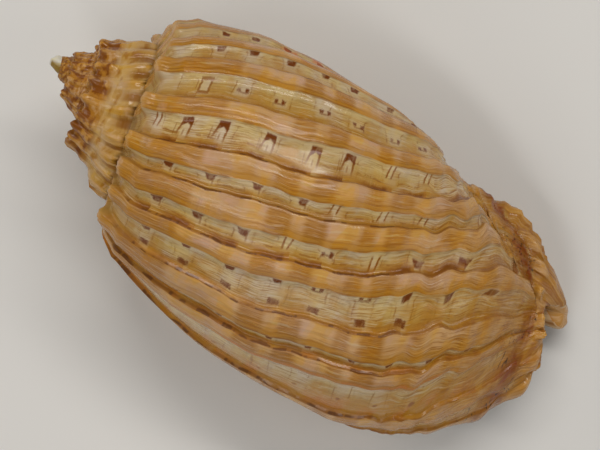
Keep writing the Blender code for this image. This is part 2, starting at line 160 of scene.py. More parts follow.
def base(t, v):
    """Smooth profile surface: radius and height at turn t, station v."""
    t, v = np.broadcast_arrays(np.asarray(t, float), np.asarray(v, float))
    shape = t.shape
    t, v = t.ravel(), v.ravel()
    s0, c = suture(t + 1.0), controls(t)
    pts = np.zeros((15, len(t), 2))
    pts[0] = s0
    pts[1] = s0 + (c[:, 0] - s0) * 0.5
    pts[1, :, 1] += 0.03 * (c[:, 0, 0] - s0[:, 0])
    pts[2:] = np.moveaxis(c, 1, 0)
    x = np.concatenate([[0, 0.05], STATION])
    h = np.diff(x)[:, None, None]
    d = np.diff(pts, axis=0) / h
    m = np.zeros_like(pts)
    w1, w2 = 2 * h[1:] + h[:-1], h[1:] + 2 * h[:-1]
    flat = d[:-1] * d[1:] <= 0
    a, b = np.where(flat, 1.0, d[:-1]), np.where(flat, 1.0, d[1:])
    m[1:-1] = np.where(flat, 0.0, (w1 + w2) / (w1 / a + w2 / b))
    m[0], m[-1] = d[0], d[-1]
    k = np.clip(np.searchsorted(x, v, side="right") - 1, 0, len(x) - 2)
    n = np.arange(len(v))
    hk = (x[k + 1] - x[k])[:, None]
    s = (v - x[k])[:, None] / hk
    s2, s3 = s * s, s * s * s
    out = ((2 * s3 - 3 * s2 + 1) * pts[k, n] + (s3 - 2 * s2 + s) * hk * m[k, n]
           + (3 * s2 - 2 * s3) * pts[k + 1, n] + (s3 - s2) * hk * m[k + 1, n])
    return out[:, 0].reshape(shape), out[:, 1].reshape(shape)


def place(t, v):
    """Base surface in space, in parts: x down the axis, -y lip side, z up."""
    r, a = base(t, v)
    ph = 2 * np.pi * np.asarray(t)
    # the first whorls lean a little towards the side away from the lip
    lean = NUB_LEAN * smooth((62.0 - a) / 63.2)
    rise = NUB_RISE * smooth((42.0 - a) / 43.2)
    return np.stack([a - rise, lean - r * np.cos(ph), r * np.sin(ph)], -1)


def normal(t, v):
    """Outward unit normal of the base surface."""
    t, v = np.broadcast_arrays(np.asarray(t, float), np.asarray(v, float))
    e, f = 0.004, 0.006
    dt = place(t + e, v) - place(t - e, v)
    v0, v1 = np.clip(v - f, 0, 1), np.clip(v + f, 0, 1)
    dv = place(t, v1) - place(t, v0)
    n = np.cross(dv, dt)
    ln = np.linalg.norm(n, axis=-1, keepdims=True)
    n = n / np.maximum(ln, 1e-9)
    ph = 2 * np.pi * t
    radial = np.stack([np.zeros_like(ph), -np.cos(ph), np.sin(ph)], -1)
    bad = ln[..., 0] < 1e-6
    n[bad] = radial[bad]
    return n


# -------------------------------------------------------------- growth lines
SHEAR_V = np.array([0.0, 0.06, 0.10, 0.15, 0.20, 0.24, 0.30, 0.39, 0.45, 0.54, 0.60, 0.65, 0.69, 0.73, 0.78, 0.84, 1.0])
SHEAR = np.array([-18.0, -12.5, -8.5, -6.0, -3.0, 0, 4, 7.5, 10.5, 16, 22, 28, 36, 47, 57, 64, 73])


def azimuth(psi, v):
    """Degrees round the axis of growth line psi at station v: the lines lag behind towards the canal, and less so near the lip."""
    s = np.interp(v, SHEAR_V, SHEAR)
    k = 0.40 + 0.60 * smooth((psi - 30.0) / 42.0)
    low = np.maximum(s - 11.0, 0.0)
    return psi + np.minimum(s, 11.0) + k * low


def rib_phase(psi):
    """Rib height 0..1 at growth line psi: steep on the old side, flat on top, easy on the young side."""
    p = (psi - LIP_PSI) % PERIOD + LIP_PSI
    h = np.zeros_like(p)
    for edge, width in RIBS:
        top = smooth((p - (edge - width - RIB_RISE)) / RIB_RISE)
        drop = smooth((edge + RIB_STEP - p) / RIB_STEP)
        h = np.maximum(h, np.minimum(top, drop) * (1.0 if width > 6.2 else 0.85))
    wrap = smooth((p - (PERIOD + RIBS[0][0] - RIBS[0][1] - RIB_RISE)) / RIB_RISE)
    return np.maximum(h, wrap)


def edge_of_glaze(v):
    """Azimuth of the margin of the inner-lip layer on the underside."""
    return np.interp(v, [0.30, 0.36, 0.45, 0.60, 0.75, 0.86, 1.0], [318.0, 296.0, 280.0, 262.0, 248.0, 236.0, 226.0])


def glaze(az, v):
    """0..1 where the glossy inner-lip layer covers the ribs: below the suture, from its edge on the underside into the opening."""
    inside = smooth((az - edge_of_glaze(v)) / 5.0) * (az < 700.0)
    return np.where(v > 0.302, inside, inside * smooth((v - 0.22) / 0.07) * (az < 345.0))


def scallop(psi, v):
    """Teeth along the front half of the lip, in parts."""
    near = smooth((-4.0 - psi) / 14.0)
    out = 0.0
    for at, width, height in LIP_TEETH:
        out = out + height * np.exp(-((v - at) / width) ** 2)
    return near * out


def relief(psi, v):
    """Height of the sculpture over the base surface, in parts."""
    t = azimuth(psi, v) / 360.0
    size = np.where(t < 1.0, 1.0 - 0.25 * np.clip(t, 0, 1), 0.75 * WHORL_RATIO ** (-(np.maximum(t, 1.0) - 1.0)))
    down = np.interp(v, [0.0, 0.03, 0.08, 0.10, 0.125, 0.17, 0.60, 0.70, 0.78, 0.81, 0.86, 0.93, 1.0],
                     [0.0, 0.55, 1.1, 1.0, 0.95, 1.0, 1.0, 0.9, 0.5, 0.15, 0.7, 0.3, 0.0])
    spine = np.exp(-((v - 0.104) / 0.022) ** 2)
    h = rib_phase(psi)
    scale = np.exp(-((v - 0.865) / 0.028) ** 2)
    out = size * h * (RIB_HEIGHT * down + SPINE * spine + SCALE * scale)
    # glaze buries the ribs beside the aperture, and the nub is smooth
    cover = glaze(360.0 * t, v)
    lower = np.where((t > 1.0) & (v <= 0.302), 0.55 * smooth((v - 0.17) / 0.08), 0.0)
    nub = smooth((3.9 - t) / 0.6)
    edge = GLAZE * np.exp(-((360.0 * t - GLAZE_RIDGE - edge_of_glaze(v)) / 7.0) ** 2) * (v > 0.302) * (t < 1.05)
    lump = LUMP[4] * np.exp(-((360.0 * t - LUMP[0]) / LUMP[1]) ** 2 - ((v - LUMP[2]) / LUMP[3]) ** 2) * (v <= 0.302)
    return out * (1 - cover) * (1 - lower) * nub + edge + lump + scallop(psi, v)


def surface(psi, v):
    """Sculptured outer surface, in parts."""
    psi, v = np.broadcast_arrays(np.asarray(psi, float), np.asarray(v, float))
    t = azimuth(psi, v) / 360.0
    t = np.minimum(t, START_TURN)
    return place(t, v) + normal(t, v) * relief(psi, v)[..., None]


# ------------------------------------------------------------- fine relief
# the CAD solid is set down by this offset, in parts, after the rest rotation
SET_DOWN = np.array([284.95225678029016, -37.05065745589986, -117.17803032458538])
SCALE_M = SHELL_LENGTH / PARTS

# small lumps of glaze on the whorl before the last: (deg, deg, station, station, parts)
GLAZE_LUMPS = (
    (452.0, 7.0, 0.262, 0.030, 3.4), (474.0, 9.0, 0.235, 0.026, 2.2), (432.0, 6.0, 0.225, 0.022, 2.0),
    (412.0, 7.0, 0.255, 0.030, 2.4), (392.0, 8.0, 0.225, 0.026, 2.2), (500.0, 9.0, 0.258, 0.028, 2.4),
    (525.0, 8.0, 0.235, 0.026, 2.0),
)


def hashed(n, k=0.0):
    """Repeatable 0..1 value for a number."""
    x = np.sin(np.asarray(n, float) * 12.9898 + k * 78.233) * 43758.5453
    return x - np.floor(x)


def rib_order(psi):
    """Rib coordinate: a whole number at the young edge of each rib, a half at its old edge."""
    psi = np.asarray(psi, float)
    k = np.floor((psi - LIP_PSI) / PERIOD)
    p = psi - k * PERIOD
    xs, ys = [], []
    for i, (edge, width) in enumerate(RIBS):
        xs += [edge - width, edge]
        ys += [i, i + 0.5]
    first, n = RIBS[0], len(RIBS)
    xs = [RIBS[-1][0] - PERIOD] + xs + [first[0] - first[1] + PERIOD, first[0] + PERIOD]
    ys = [-0.5] + ys + [n, n + 0.5]
    return np.interp(p, xs, ys) + n * k


FURROW_AZ = [0.0, 36.0, 85.0, 100.0, 112.0, 122.0, 141.0, 153.0, 165.0, 181.0, 200.0, 225.0, 260.0, 310.0, 400.0]
FURROW_V = [0.806, 0.806, 0.812, 0.850, 0.898, 0.930, 0.936, 0.926, 0.896, 0.880, 0.868, 0.855, 0.835, 0.808, 0.806]


def front(az, v):
    """Station measured by the furrow: 0.806 in the furrow, which swings out towards the canal high on the back."""
    f = np.interp(az, FURROW_AZ, FURROW_V)
    inner = 0.62 + (v - 0.62) * (0.806 - 0.62) / (f - 0.62)
    outer = 0.806 + (v - f) * (1.0 - 0.806) / (1.0 - f)
    return np.where(v <= 0.62, v, np.where(v < f, inner, outer))


def unfront(az, f):
    """The true station for a station measured by the furrow, short of the furrow."""
    g = np.interp(az, FURROW_AZ, FURROW_V)
    return np.where(f <= 0.62, f, 0.62 + (f - 0.62) * (g - 0.62) / (0.806 - 0.62))


def following(az, v):
    """Growth line of the next whorl that meets this whorl's foot at the suture."""
    return az - 360.0 - SHEAR[0] + 90.0 * (0.302 - v)


def neck(az, v):
    """Relief of the neck: the furrow, the slimmer canal end on the far side and the knobs along its cord."""
    f = np.interp(az, FURROW_AZ, FURROW_V)
    dip = smooth((az - 92.0) / 20.0) * smooth((232.0 - az) / 30.0)
    far = np.interp(az, [118.0, 140.0, 158.0, 176.0, 200.0, 222.0, 250.0], [0.0, 0.3, 0.8, 1.0, 0.9, 0.4, 0.0])
    trim = 7.0 * far * np.interp(v, [0.815, 0.85, 0.90, 0.93, 0.96, 0.985, 1.0], [0.0, 0.10, 0.15, 0.6, 0.85, 0.6, 0.0])
    along = base(np.minimum(az / 360.0, START_TURN), v)[1]
    cord = np.exp(-((az - 176.0) / 17.0) ** 2) * smooth((v - 0.85) / 0.02) * smooth((0.985 - v) / 0.02)
    knobs = 3.2 * cord * (0.5 + 0.5 * np.cos(2 * np.pi * (along - 452.0) / 16.5 + 0.5 * np.sin(0.21 * az))) ** 1.4
    pits = smooth((v - 0.74) / 0.05) * smooth((0.97 - v) / 0.04) * smooth((az - 60.0) / 30.0) * smooth((235.0 - az) / 30.0)
    pits = pits * 2.2 * (value_noise(along / 7.0, az / 9.0) - 0.5)
    return knobs + pits - trim - 3.4 * dip * np.exp(-((v - f) / 0.014) ** 2)


def value_noise(x, y):
    """Smooth repeatable noise 0..1 on a unit grid."""
    x, y = np.broadcast_arrays(np.asarray(x, float), np.asarray(y, float))
    i, j = np.floor(x), np.floor(y)
    fx, fy = smooth(x - i), smooth(y - j)

    def at(a, b):
        return hashed(a * 7.31 + b * 113.7, 4.0)
    return ((at(i, j) * (1 - fx) + at(i + 1, j) * fx) * (1 - fy)
            + (at(i, j + 1) * (1 - fx) + at(i + 1, j + 1) * fx) * fy)


def saddle(az, v):
    """Shift in parts, outward and forward, that carries the ribbed wall over the neck to the furrow."""
    fill = np.interp(az, [84.0, 100.0, 114.0, 128.0, 142.0, 156.0, 172.0, 192.0, 215.0], [0.0, 5.0, 9.0, 11.0, 10.0, 8.0, 6.0, 4.0, 0.0])
    return fill * np.where(v < 0.80, np.exp(-((v - 0.80) / 0.034) ** 2), np.exp(-((v - 0.80) / 0.062) ** 2))


def wrinkle(psi, v):
    """Degrees by which the growth lines waver on the front third."""
    w = smooth((v - 0.56) / 0.14) * (1 - 0.6 * smooth((v - 0.80) / 0.06))
    slow = (np.sin(2 * np.pi * (v / 0.067 + 0.031 * psi + 0.25 * np.sin(0.13 * psi)))
            + 0.55 * np.sin(2 * np.pi * (v / 0.036 - 0.043 * psi) + 1.3))
    fade = smooth((350.0 - psi) / 38.0)
    return fade * (1.25 * w * slow + 0.55 * smooth((v - 0.12) / 0.1) * np.sin(2 * np.pi * (v / 0.19 + 0.017 * psi))
                   + 0.22 * smooth((v - 0.12) / 0.1) * np.sin(2 * np.pi * (v / 0.047 + 0.051 * psi)))


def fine_ribs(psi, v):
    """Rib height 0..1 with a sharp old edge, a low shoulder on the young side and one or two threads."""
    p = (psi - LIP_PSI) % PERIOD + LIP_PSI
    h = np.zeros_like(p)
    for i, (edge, width) in enumerate(RIBS):
        u = np.clip((p - (edge - width)) / width, 0.0, 1.0)
        rise = smooth((p - (edge - width - RIB_RISE)) / (RIB_RISE * 1.15))
        drop = smooth((edge + RIB_STEP - p) / RIB_STEP)
        crest = 0.62 + 0.42 * np.sin(np.pi * (0.12 + 0.62 * u)) + 0.045 * np.cos(2 * np.pi * u * max(2.0, round(width / 3.4)))
        size = (1.0 if width > 6.2 else 0.85) * (0.93 + 0.14 * float(hashed(i, 2.0)))
        h = np.maximum(h, np.minimum(rise, drop) * crest * size)
    edge0 = PERIOD + RIBS[0][0] - RIBS[0][1] - RIB_RISE
    return np.maximum(h, 0.8 * smooth((p - edge0) / RIB_RISE))


def fine_relief(psi, v):
    """Height of all the sculpture over the base surface, in parts."""
    az = azimuth(psi, v)
    t = az / 360.0
    size = np.where(t < 1.0, 1.0 - 0.25 * np.clip(t, 0, 1), 0.75 * WHORL_RATIO ** (-(np.maximum(t, 1.0) - 1.0)))
    f = front(az, v)
    down = np.interp(f, [0.0, 0.03, 0.08, 0.10, 0.125, 0.17, 0.60, 0.70, 0.77, 0.800, 0.83, 0.86, 0.93, 1.0],
                     [0.55, 0.85, 1.25, 1.0, 0.95, 1.0, 1.0, 0.92, 0.65, 0.20, 0.4, 0.7, 0.3, 0.0])
    old = smooth((t - 1.0) / 0.12)
    h = fine_ribs(psi, v)
    q = rib_order(psi)
    # on the early whorls the ribs are blunt and break up into knobs
    blunt = (0.5 + 0.5 * np.cos(2 * np.pi * (q - 0.27))) ** 0.8
    knob = 0.62 + 0.38 * np.sin(2 * np.pi * (v / 0.085 + 0.31 * q) + 1.2 * np.sin(3.1 * q))
    h = h * (1 - old) + old * (0.30 * h + 0.85 * blunt * knob)
    rib = np.floor(q + 0.25)
    spine = np.exp(-((v - 0.104) / 0.015) ** 2) * (0.8 + 0.5 * hashed(rib, 5.0))
    # the last ribs before the lip, and those at the far side, have low spines and a rounder shoulder
    late = np.interp(rib, [1.0, 2.0, 3.0, 8.0, 9.0, 12.0, 13.0], [0.05, 0.35, 1.0, 1.0, 0.5, 0.4, 1.0])
    spine = spine * late
    down = down * (1.0 - 0.60 * (1.0 - late) * np.exp(-((v - 0.088) / 0.038) ** 2))
    second = 0.35 * np.exp(-((v - 0.150) / 0.012) ** 2)
    scale = np.exp(-((f - 0.868) / 0.026) ** 2) * (0.6 + 0.8 * hashed(rib, 7.0))
    out = size * h * (1.12 * RIB_HEIGHT * down + SPINE * (spine + second) * (1 - 0.45 * old) + 1.45 * SCALE * scale)
    # growth threads between the ribs, coarser on the canal ridge
    ridge = smooth((f - 0.80) / 0.03) * smooth((0.995 - v) / 0.03)
    out = out + size * (0.28 + 1.1 * ridge) * (0.5 + 0.5 * np.sin(2 * np.pi * (4.0 * q + 0.35 * np.sin(9.0 * q)))) * smooth((v - 0.02) / 0.03)
    # puckers across the growth lines towards the canal
    pucker = smooth((v - 0.56) / 0.12) * smooth((0.80 - f) / 0.05)
    out = out + size * pucker * (0.55 * np.sin(2 * np.pi * (v / 0.031 + 0.23 * np.sin(1.7 * q) + 0.35 * q))
                                 + 0.30 * np.sin(2 * np.pi * (v / 0.0185 + 0.61 * q) + 2.0 * np.sin(2.3 * q)))
    # uneven growth: low swellings and rests along each rib
    out = out + size * 0.45 * np.sin(2 * np.pi * (v / 0.115 + 0.37 * rib)) * h * smooth((v - 0.11) / 0.05) * (1 - old)
    cover = glaze(az, v)
    band = (t > 1.0) & (v <= 0.302)
    lower = np.where(band, 0.88 * smooth((v - 0.16) / 0.07), 0.0)
    # the lamellae of the next whorl's ramp climb over the suture on to this whorl's glazed foot
    climb = np.where(band & (t < 2.6), smooth((v - 0.185) / 0.075), 0.0)
    lamella = fine_ribs(following(az, v), 0.0 * v) ** 1.5
    climb = climb * 6.0 * lamella * WHORL_RATIO ** (-(np.maximum(t, 1.0) - 1.0))
    nub = smooth((3.9 - t) / 0.6)
    edge = GLAZE * np.exp(-((az - GLAZE_RIDGE - edge_of_glaze(v)) / 7.0) ** 2) * (v > 0.302) * (t < 1.05)
    upper = v <= 0.302
    lump = LUMP[4] * np.exp(-((az - LUMP[0]) / LUMP[1]) ** 2 - ((v - LUMP[2]) / LUMP[3]) ** 2) * upper
    for az0, aw, v0, vw, high in GLAZE_LUMPS:
        lump = lump + high * np.exp(-((az - az0) / aw) ** 2 - ((v - v0) / vw) ** 2) * upper
    uneven = (0.5 * np.sin(0.11 * az + 9 * v) * np.sin(17 * v + 0.05 * az) * smooth((2.2 - t) / 0.6)
              + 0.55 * old * size * np.sin(0.19 * az + 31 * v) * np.sin(53 * v - 0.12 * az))
    return out * (1 - cover) * (1 - lower) * nub + climb * nub + edge + lump + uneven * nub + scallop(psi, v) + neck(az, v) * (v > 0.302)


def fine_surface(psi, v):
    psi, v = np.broadcast_arrays(np.asarray(psi, float), np.asarray(v, float))
    t = (azimuth(psi, v) + wrinkle(psi, v)) / 360.0
    t = np.minimum(t, START_TURN)
    # spines lean towards the apex
    lean = fine_ribs(psi, v) * np.exp(-((v - 0.100) / 0.014) ** 2) * np.where(t < 3.0, 1.0, 0.0)
    p = place(t, v) + normal(t, v) * fine_relief(psi, v)[..., None]
    out = saddle(360.0 * t, v) * (v > 0.302)
    p = p + np.stack([0.60 * out, -0.80 * out * np.cos(2 * np.pi * t), 0.80 * out * np.sin(2 * np.pi * t)], -1)
    size = np.where(t < 1.0, 1.0, WHORL_RATIO ** (-(np.maximum(t, 1.0) - 1.0)))
    late = np.interp(rib_order(psi), [0.8, 1.4, 2.4, 3.5, 8.5, 9.5, 12.5, 13.5], [0.6, 0.0, -1.4, 1.0, 1.0, 0.2, 0.0, 1.0])
    p[..., 0] -= 2.6 * lean * size * late
    return p


# -------------------------------------------------------------- fine meshing
ROWS_UPPER = np.array([0.0, 0.013, 0.027, 0.042, 0.056, 0.068, 0.078, 0.086, 0.092, 0.098, 0.104, 0.110, 0.117, 0.126,
                       0.137, 0.150, 0.163, 0.180, 0.200, 0.222, 0.245, 0.272, 0.30])
RIM = 4
ROWS_CORNER = 0.30 + 0.04 * np.arange(1, RIM + 1) / (RIM + 1)
ROWS_LOWER = np.concatenate([np.arange(0.34, 0.60, 0.0105), np.arange(0.60, 1.0, 0.0058), [1.0]])
HOLLOW_COLS = 56
STEPS = (1, 1, 2, 4, 4, 4, 4, 4)


def fine_columns():
    """Growth lines of one weld period: dense at the edges of the ribs."""
    out = [LIP_PSI]
    for i, (edge, width) in enumerate(RIBS):
        a = edge - width
        if i:
            out += list(np.linspace(a - RIB_RISE, a, 5)[:-1])
        k = max(3, int(round(width / 0.95)))
        out += list(a + width * np.arange(k) / k)
        out += list(edge + RIB_STEP * np.linspace(0, 1, 4))
        nxt = (RIBS[i + 1][0] - RIBS[i + 1][1] - RIB_RISE) if i + 1 < len(RIBS) else PERIOD + RIBS[0][0] - RIBS[0][1] - RIB_RISE
        gap = nxt - (edge + RIB_STEP)
        k = max(1, int(round(gap / 1.0)))
        out += list(edge + RIB_STEP + gap * np.arange(1, k) / k)
    out.append(PERIOD + RIBS[0][0] - RIBS[0][1] - RIB_RISE)
    out = sorted(set(np.round(out, 5)))
    while len(out) % 4:                     # a whole number of steps of four
        gaps = np.diff(out)
        i = int(np.argmax(gaps))
        out.insert(i + 1, (out[i] + out[i + 1]) / 2)
    return np.array(out)


def line_length(psi, v):
    """Arc length in parts from the shoulder along growth line psi, on the base surface."""
    vs = np.linspace(0.0, 1.0, 121)
    psi = np.atleast_1d(np.asarray(psi, float))
    out = np.zeros((len(psi), len(v)))
    grid = place(np.minimum(azimuth(psi[:, None], vs[None, :]) / 360.0, START_TURN), vs[None, :] + 0 * psi[:, None])
    d = np.linalg.norm(np.diff(grid, axis=1), axis=2)
    s = np.concatenate([np.zeros((len(psi), 1)), np.cumsum(d, axis=1)], 1)
    for i in range(len(psi)):
        s0 = np.interp(0.10, vs, s[i])
        out[i] = np.interp(v, vs, s[i]) - s0
    return out


class Sheet:
    """Points, faces and per-corner values of the fine mesh."""

    def __init__(self):
        self.pts, self.n = [], 0
        self.faces, self.vals = [], []

    def add(self, p):
        p = np.asarray(p, float).reshape(-1, 3)
        self.pts.append(p)
        self.n += len(p)
        return np.arange(self.n - len(p), self.n)

    def face(self, ids, vals):
        keep = [i for i in range(len(ids)) if ids[i] != ids[i - 1]]
        if len(set(ids[i] for i in keep)) >= 3:
            self.faces.append([int(ids[i]) for i in keep])
            self.vals.extend(vals[i] for i in keep)

    def grid(self, g, a):
        for i in range(g.shape[0] - 1):
            for j in range(g.shape[1] - 1):
                self.face((g[i, j], g[i + 1, j], g[i + 1, j + 1], g[i, j + 1]),
                          (a[i, j], a[i + 1, j], a[i + 1, j + 1], a[i, j + 1]))

    def zip(self, one, va, two, vb):
        P = np.concatenate(self.pts)
        i = j = 0
        while i < len(one) - 1 or j < len(two) - 1:
            da = np.linalg.norm(P[one[i + 1]] - P[two[j]]) if i < len(one) - 1 else 1e9
            db = np.linalg.norm(P[two[j + 1]] - P[one[i]]) if j < len(two) - 1 else 1e9
            if da <= db:
                self.face((one[i], one[i + 1], two[j]), (va[i], va[i + 1], vb[j]))
                i += 1
            else:
                self.face((one[i], two[j + 1], two[j]), (va[i], vb[j + 1], vb[j]))
                j += 1


def values(psi, v, zone=0.0):
    """Per-point values: rib order, length along the line, station, turn, zone, glaze."""
    psi = np.atleast_1d(np.asarray(psi, float))
    v = np.atleast_1d(np.asarray(v, float))
    s = line_length(psi, v)
    P, V = np.broadcast_arrays(psi[:, None], v[None, :])
    t = azimuth(P, V) / 360.0
    return np.stack([rib_order(P), s, front(360.0 * t, V), t, zone + 0 * t, glaze(360.0 * t, V) * (zone == 0), P], -1)


def build_fine():
    m = Sheet()
    cols = fine_columns()
    n = len(cols)
    turns = int(math.ceil((START_TURN * 360 + 60) / PERIOD)) + 1
    up_v, j1 = ROWS_UPPER, len(ROWS_UPPER) - 1
    pole = int(m.add([[-1.2 - NUB_RISE, NUB_LEAN, 0.0]])[0])

    # upper band of every whorl, rows 1..j1
    psi, tag = [], []
    for k in range(turns):
        step = STEPS[min(k, len(STEPS) - 1)]
        for i in range(0, n, step):
            psi.append(cols[i] + PERIOD * k)
            tag.append((k, i))
    psi = np.array(psi)
    where = {t: c for c, t in enumerate(tag)}
    pts = fine_surface(psi[:, None], up_v[None, 1:])
    dead = azimuth(psi, 0.3) / 360.0 >= START_TURN
    ids = m.add(pts).reshape(len(psi), j1)
    ids[dead] = pole
    att = values(psi, up_v)
    m.grid(ids, att[:, 1:])
    # the strip at the suture: row 1 against the wall of the whorl before
    for k in range(turns - 1):
        sa, sb = STEPS[min(k, len(STEPS) - 1)], STEPS[min(k + 1, len(STEPS) - 1)]
        for i in range(0, n, sb):
            js = list(range(i, i + sb + 1, sa))
            A = [where.get((k, j)) if j < n else where.get((k + 1, 0)) for j in js]
            lo = where.get((k + 1, i))
            hi = where.get((k + 1, i + sb)) if i + sb < n else where.get((k + 2, 0))
            if lo is None or hi is None or any(x is None for x in A):
                continue
            B0, B1 = ids[lo, j1 - 1], ids[hi, j1 - 1]
            b0, b1 = att[A[0], 0], att[A[-1], 0]
            if len(A) == 2:
                m.face((ids[A[0], 0], ids[A[1], 0], B1, B0), (att[A[0], 1], att[A[1], 1], b1, b0))
            else:
                mid = len(A) // 2
                for x in range(len(A) - 1):
                    if x < mid:
                        m.face((ids[A[x], 0], ids[A[x + 1], 0], B0), (att[A[x], 1], att[A[x + 1], 1], b0))
                    else:
                        m.face((ids[A[x], 0], ids[A[x + 1], 0], B1), (att[A[x], 1], att[A[x + 1], 1], b1))
                m.face((ids[A[mid], 0], B1, B0), (att[A[mid], 1], b1, b0))

    # wall of the last whorl
    low_v = np.concatenate([ROWS_CORNER, ROWS_LOWER])
    p0 = psi[:n + 1]
    low = m.add(fine_surface(p0[:, None], low_v[None, :])).reshape(n + 1, len(low_v))
    full = np.concatenate([ids[:n + 1, j1 - 1:j1], low], 1)
    full_v = np.concatenate([[0.30], low_v])
    fatt = values(p0, full_v)
    m.grid(full, fatt)

    # hollow: parietal wall and pillar
    lv = ROWS_LOWER
    u = np.linspace(0.0, 1.0, HOLLOW_COLS + 1)
    cap = np.interp(lv, [0.34, 0.5, 0.62, 0.8, 1.0], [HOLLOW_DEPTH, HOLLOW_DEPTH - 10, 205.0, 118.0, HOLLOW_DEPTH_CANAL])
    start = azimuth(PERIOD + LIP_PSI, lv) + wrinkle(PERIOD + LIP_PSI, lv)
    az = start + u[:, None] * (cap + 360.0 - start)
    fl = place(az / 360.0, lv[None, :] + 0 * az)
    # the step from the sculptured edge to the smooth wall fades over a few columns
    off = m_points(m, full[n, 1 + RIM:]) - fl[0]
    fl = fl + off[None] * np.exp(-(u[:, None, None] * HOLLOW_COLS / 2.5) ** 2)
    fid = m.add(fl[1:]).reshape(HOLLOW_COLS, len(lv))
    fid = np.concatenate([full[n:n + 1, 1 + RIM:], fid], 0)
    fa = np.zeros(fid.shape + (7,))
    fa[..., 0] = rib_order(az - 20.0)
    fa[..., 1] = line_length(np.array([300.0]), lv)[0][None, :]
    fa[..., 2], fa[..., 3], fa[..., 4], fa[..., 5] = lv[None, :], az / 360.0, 1.0, 1.0
    m.grid(fid, fa)

    # inside of the outer wall
    vi = np.concatenate([up_v, low_v])
    lip = azimuth(LIP_PSI, vi)
    capi = np.interp(vi, [0.0, 0.34, 0.5, 0.62, 0.8, 1.0], [HOLLOW_DEPTH, HOLLOW_DEPTH, HOLLOW_DEPTH - 10, 205.0, 118.0, HOLLOW_DEPTH_CANAL])
    azi = lip + u[:, None] * (capi - lip)
    ti = azi / 360.0
    vv = vi[None, :] + 0 * ti
    size = WHORL_RATIO ** (-np.clip(ti, 0, 1))
    thick = WALL * size * np.interp(vi, [0, 0.6, 0.8, 1.0], [1.0, 1.0, 0.62, 0.5])[None, :]
    # the ribs show faintly inside as broad flutes
    flute = 0.5 * np.cos(2 * np.pi * rib_order(azi - 12.0)) * size * smooth((0.78 - vi) / 0.1)[None, :]
    inner = place(ti, vv) - normal(ti, vv) * (thick + flute)[..., None]
    iid = m.add(inner[:, 1:]).reshape(HOLLOW_COLS + 1, len(vi) - 1)
    iid = np.concatenate([fid[:, :1], iid], 1)
    ia = np.zeros(iid.shape + (7,))
    ia[..., 0] = rib_order(azi - 12.0)
    ia[..., 1] = line_length(np.array([0.0]), vi)[0][None, :]
    ia[..., 2], ia[..., 3], ia[..., 4], ia[..., 5] = vv, ti, 1.0, 0.0
    m.grid(iid, ia)
    m.zip(list(fid[-1]), list(fa[-1]), list(iid[-1]), list(ia[-1]))

    # rounded rim of the lip: outer column, RIM columns, inner column
    outer = np.concatenate([[full[n, 0]], ids[0, :j1 - 1], full[0]])
    oatt = np.concatenate([att[0, :1], att[0, 1:j1], fatt[0]])
    assert len(outer) == len(vi), (len(outer), len(vi))
    O, I = m_points(m, outer), m_points(m, iid[0])
    beyond = fine_surface(np.full(len(vi), LIP_PSI), vi) - fine_surface(np.full(len(vi), LIP_PSI + 2.0), vi)
    beyond /= np.maximum(np.linalg.norm(beyond, axis=1, keepdims=True), 1e-9)
    rim_ids = [outer]
    rim_att = [oatt]
    half = np.linalg.norm(O - I, axis=1, keepdims=True) / 2
    grow = smooth(np.arange(len(vi)) / 8.0)[:, None]
    for k in range(1, RIM + 1):
        th = math.pi * k / (RIM + 1)
        pk = (O + I) / 2 + (O - I) / 2 * math.cos(th) + beyond * half * 0.75 * math.sin(th) * grow
        new = m.add(pk[1:])
        col = np.concatenate([[full[n, k]], new])
        rim_ids.append(col)
        ra = oatt.copy()
        ra[:, 4] = k / (RIM + 1.0)
        rim_att.append(ra)
    rim_ids.append(iid[0])
    rim_att.append(ia[0])
    ra = np.array(rim_att)
    ra[-1, :, 0] = ra[-2, :, 0]
    m.grid(np.array(rim_ids), ra)

    # foot of the wall, then the pillar's end with its smooth facet
    edge = azimuth(p0, 1.0)
    at = int(np.searchsorted(edge, HOLLOW_DEPTH_CANAL))
    foot_b = [r[-1] for r in rim_ids[1:]] + list(iid[1:, -1])
    foot_c = [r[-1] for r in ra[1:]] + list(ia[1:, -1])
    m.zip(list(full[:at + 1, -1]), list(fatt[:at + 1, -1]), foot_b, foot_c)
    loop = list(full[at:, -1]) + list(fid[1:, -1]) + [iid[-1, -1]]
    la = np.array(list(fatt[at:, -1]) + list(fa[1:, -1]) + [ia[-1, -1]])
    P = m_points(m, loop)
    tip = np.array([CANAL_END, 0.0, 0.0])
    prev, pa = np.array(loop), la
    for f in (0.10, 0.28, 0.52, 0.76):
        ring = P + (tip - P) * f
        ring[:, 0] -= 3.0 * math.sin(math.pi * f) * smooth((np.linalg.norm(P[:, 1:], axis=1) - 12.0) / 15.0)
        cur = m.add(ring)
        ca = la.copy()
        # the far side of the end is rolled over and coloured like the ridge, the rest is the open cut
        cut = ring[:, 1] < 9.0
        ca[:, 4] = np.where(cut, 2.0, 0.0)
        ca[:, 5] = np.where(cut, 1.0, ca[:, 5])
        for i in range(len(loop)):
            j = (i + 1) % len(loop)
            m.face((prev[i], prev[j], cur[j], cur[i]), (pa[i], pa[j], ca[j], ca[i]))
        prev, pa = cur, ca
    end = int(m.add([tip])[0])
    for i in range(len(loop)):
        j = (i + 1) % len(loop)
        m.face((prev[i], prev[j], end), (pa[i], pa[j], pa[i]))
    soften(m, tip, 50.0, 50)
